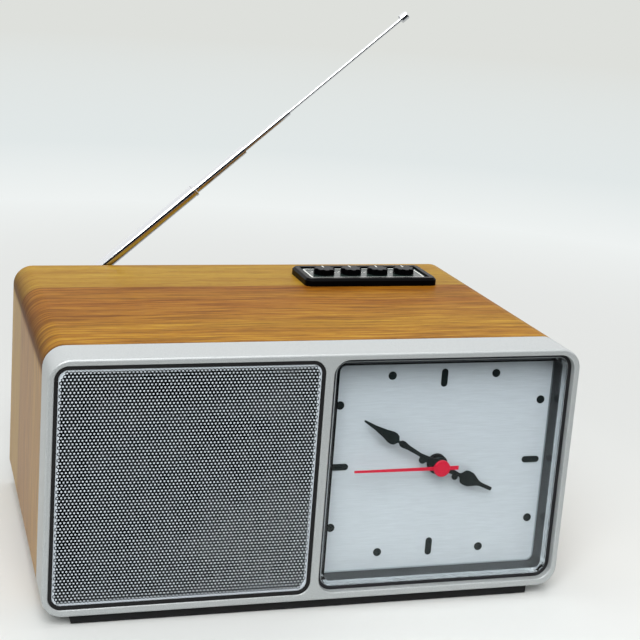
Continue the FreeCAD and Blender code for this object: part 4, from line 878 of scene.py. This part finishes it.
def make_floor_finish():
    material, tree, shader, place = start("white_floor", Roughness=0.9)
    shader.inputs["Base Color"].default_value = colour("E6E8E6")
    far = add(tree, "VectorMath", {0: place}, operation="LENGTH").outputs["Value"]
    fade = spread(tree, far, 0.0, 1.0, GLOW_FROM, GLOW_FULL)
    path = add(tree, "LightPath").outputs
    share = add(tree, "Math", {0: fade, 1: path["Is Camera Ray"]},
                operation="MULTIPLY").outputs[0]
    tone = ramp(tree, spread(tree, far, 0.0, 1.0, TONES_FROM, TONES_TO), (0.0, "FAFBF9"),
                (0.12, "F2F5F4"), (0.3, "E2E8E8"), (1.0, FAR_TONE))
    glow = add(tree, "Emission", {"Color": tone, "Strength": 1.0}).outputs[0]
    both = add(tree, "MixShader", {0: share, 1: shader.outputs[0], 2: glow}).outputs[0]
    depth = add(tree, "SeparateXYZ", {"Vector": place}).outputs["Y"]
    in_front = spread(tree, depth, 1.0, 0.0, DARK_FROM_Y, DARK_TO_Y)
    mirrored = add(tree, "Math", {0: in_front, 1: path["Is Glossy Ray"]},
                   operation="MULTIPLY").outputs[0]
    dim = add(tree, "Emission", {"Color": colour("4A4E52"), "Strength": 1.0}).outputs[0]
    final = add(tree, "MixShader", {0: mirrored, 1: both, 2: dim}).outputs[0]
    tree.links.new(final, tree.nodes["Material Output"].inputs["Surface"])
    return material


def make_floor():
    bm = bmesh.new()
    bmesh.ops.create_circle(bm, cap_ends=True, segments=64, radius=FLOOR_RADIUS)
    mesh = bpy.data.meshes.new("floor")
    bm.to_mesh(mesh)
    bm.free()
    mesh.materials.append(make_floor_finish())
    floor = bpy.data.objects.new("floor", mesh)
    bpy.context.scene.collection.objects.link(floor)
    print("the floor reaches", FLOOR_RADIUS, "m out")


make_floor()

# %% [markdown]
# ## Lamps
#
# Two disc lamps stand for the softboxes of a small studio. Small lamps would give hard
# shadows, which the photograph doesn't have. The stronger one stands in front, to the
# left and above, and the weaker one hangs over the cabinet and lights its top.

# %% Lamps
def make_lamp(name, place, size, power, aim=(0, 0, 0.05)):
    data = bpy.data.lights.new(name, "AREA")
    data.shape = "DISK"
    data.size = size
    data.energy = power
    lamp = bpy.data.objects.new(name, data)
    lamp.location = place
    lamp.rotation_euler = (Vector(aim) - Vector(place)).to_track_quat("-Z", "Y").to_euler()
    bpy.context.scene.collection.objects.link(lamp)
    print(name, "is", size, "m wide and gives", power, "W")


make_lamp("top_lamp", (0.05, 0.05, 1.0), 0.8, 3.6)
make_lamp("front_key", (-0.35, -0.88, 1.05), 0.9, 14.4)

# %% [markdown]
# ## Camera
#
# The camera's place, turn and focal length were fitted to the cabinet's corners in the
# photograph. There the middle of the picture isn't where the lens points, so the sensor
# is shifted here too, but only so far that the object at rest stays in view when turned.
# For that reason its upright edges lean a little, where the photograph's don't.

# %% Camera
IMAGE_SIZE = 640
SENSOR = 36.0
FOCAL_PIXELS = 1315.3
CAMERA_PLACE = Vector((-151.94, -492.875, 241.62)) * MM
YAW, PITCH, ROLL = (math.radians(angle) for angle in (14.186, 12.412, 3.255))
SHIFT_X, SHIFT_Y = 0.165, -0.140

camera_data = bpy.data.cameras.new("camera")
camera_data.sensor_width = SENSOR
camera_data.lens = FOCAL_PIXELS / IMAGE_SIZE * SENSOR
camera_data.shift_x = SHIFT_X
camera_data.shift_y = SHIFT_Y
camera = bpy.data.objects.new("camera", camera_data)
turn = (Matrix.Rotation(-YAW, 4, "Z") @ Matrix.Rotation(math.pi / 2 - PITCH, 4, "X")
        @ Matrix.Rotation(ROLL, 4, "Z"))
camera.matrix_world = Matrix.Translation(CAMERA_PLACE) @ turn
bpy.context.scene.collection.objects.link(camera)
bpy.context.scene.camera = camera
bpy.context.scene.view_settings.view_transform = "Standard"
print("the lens is", round(camera_data.lens, 1), "mm")
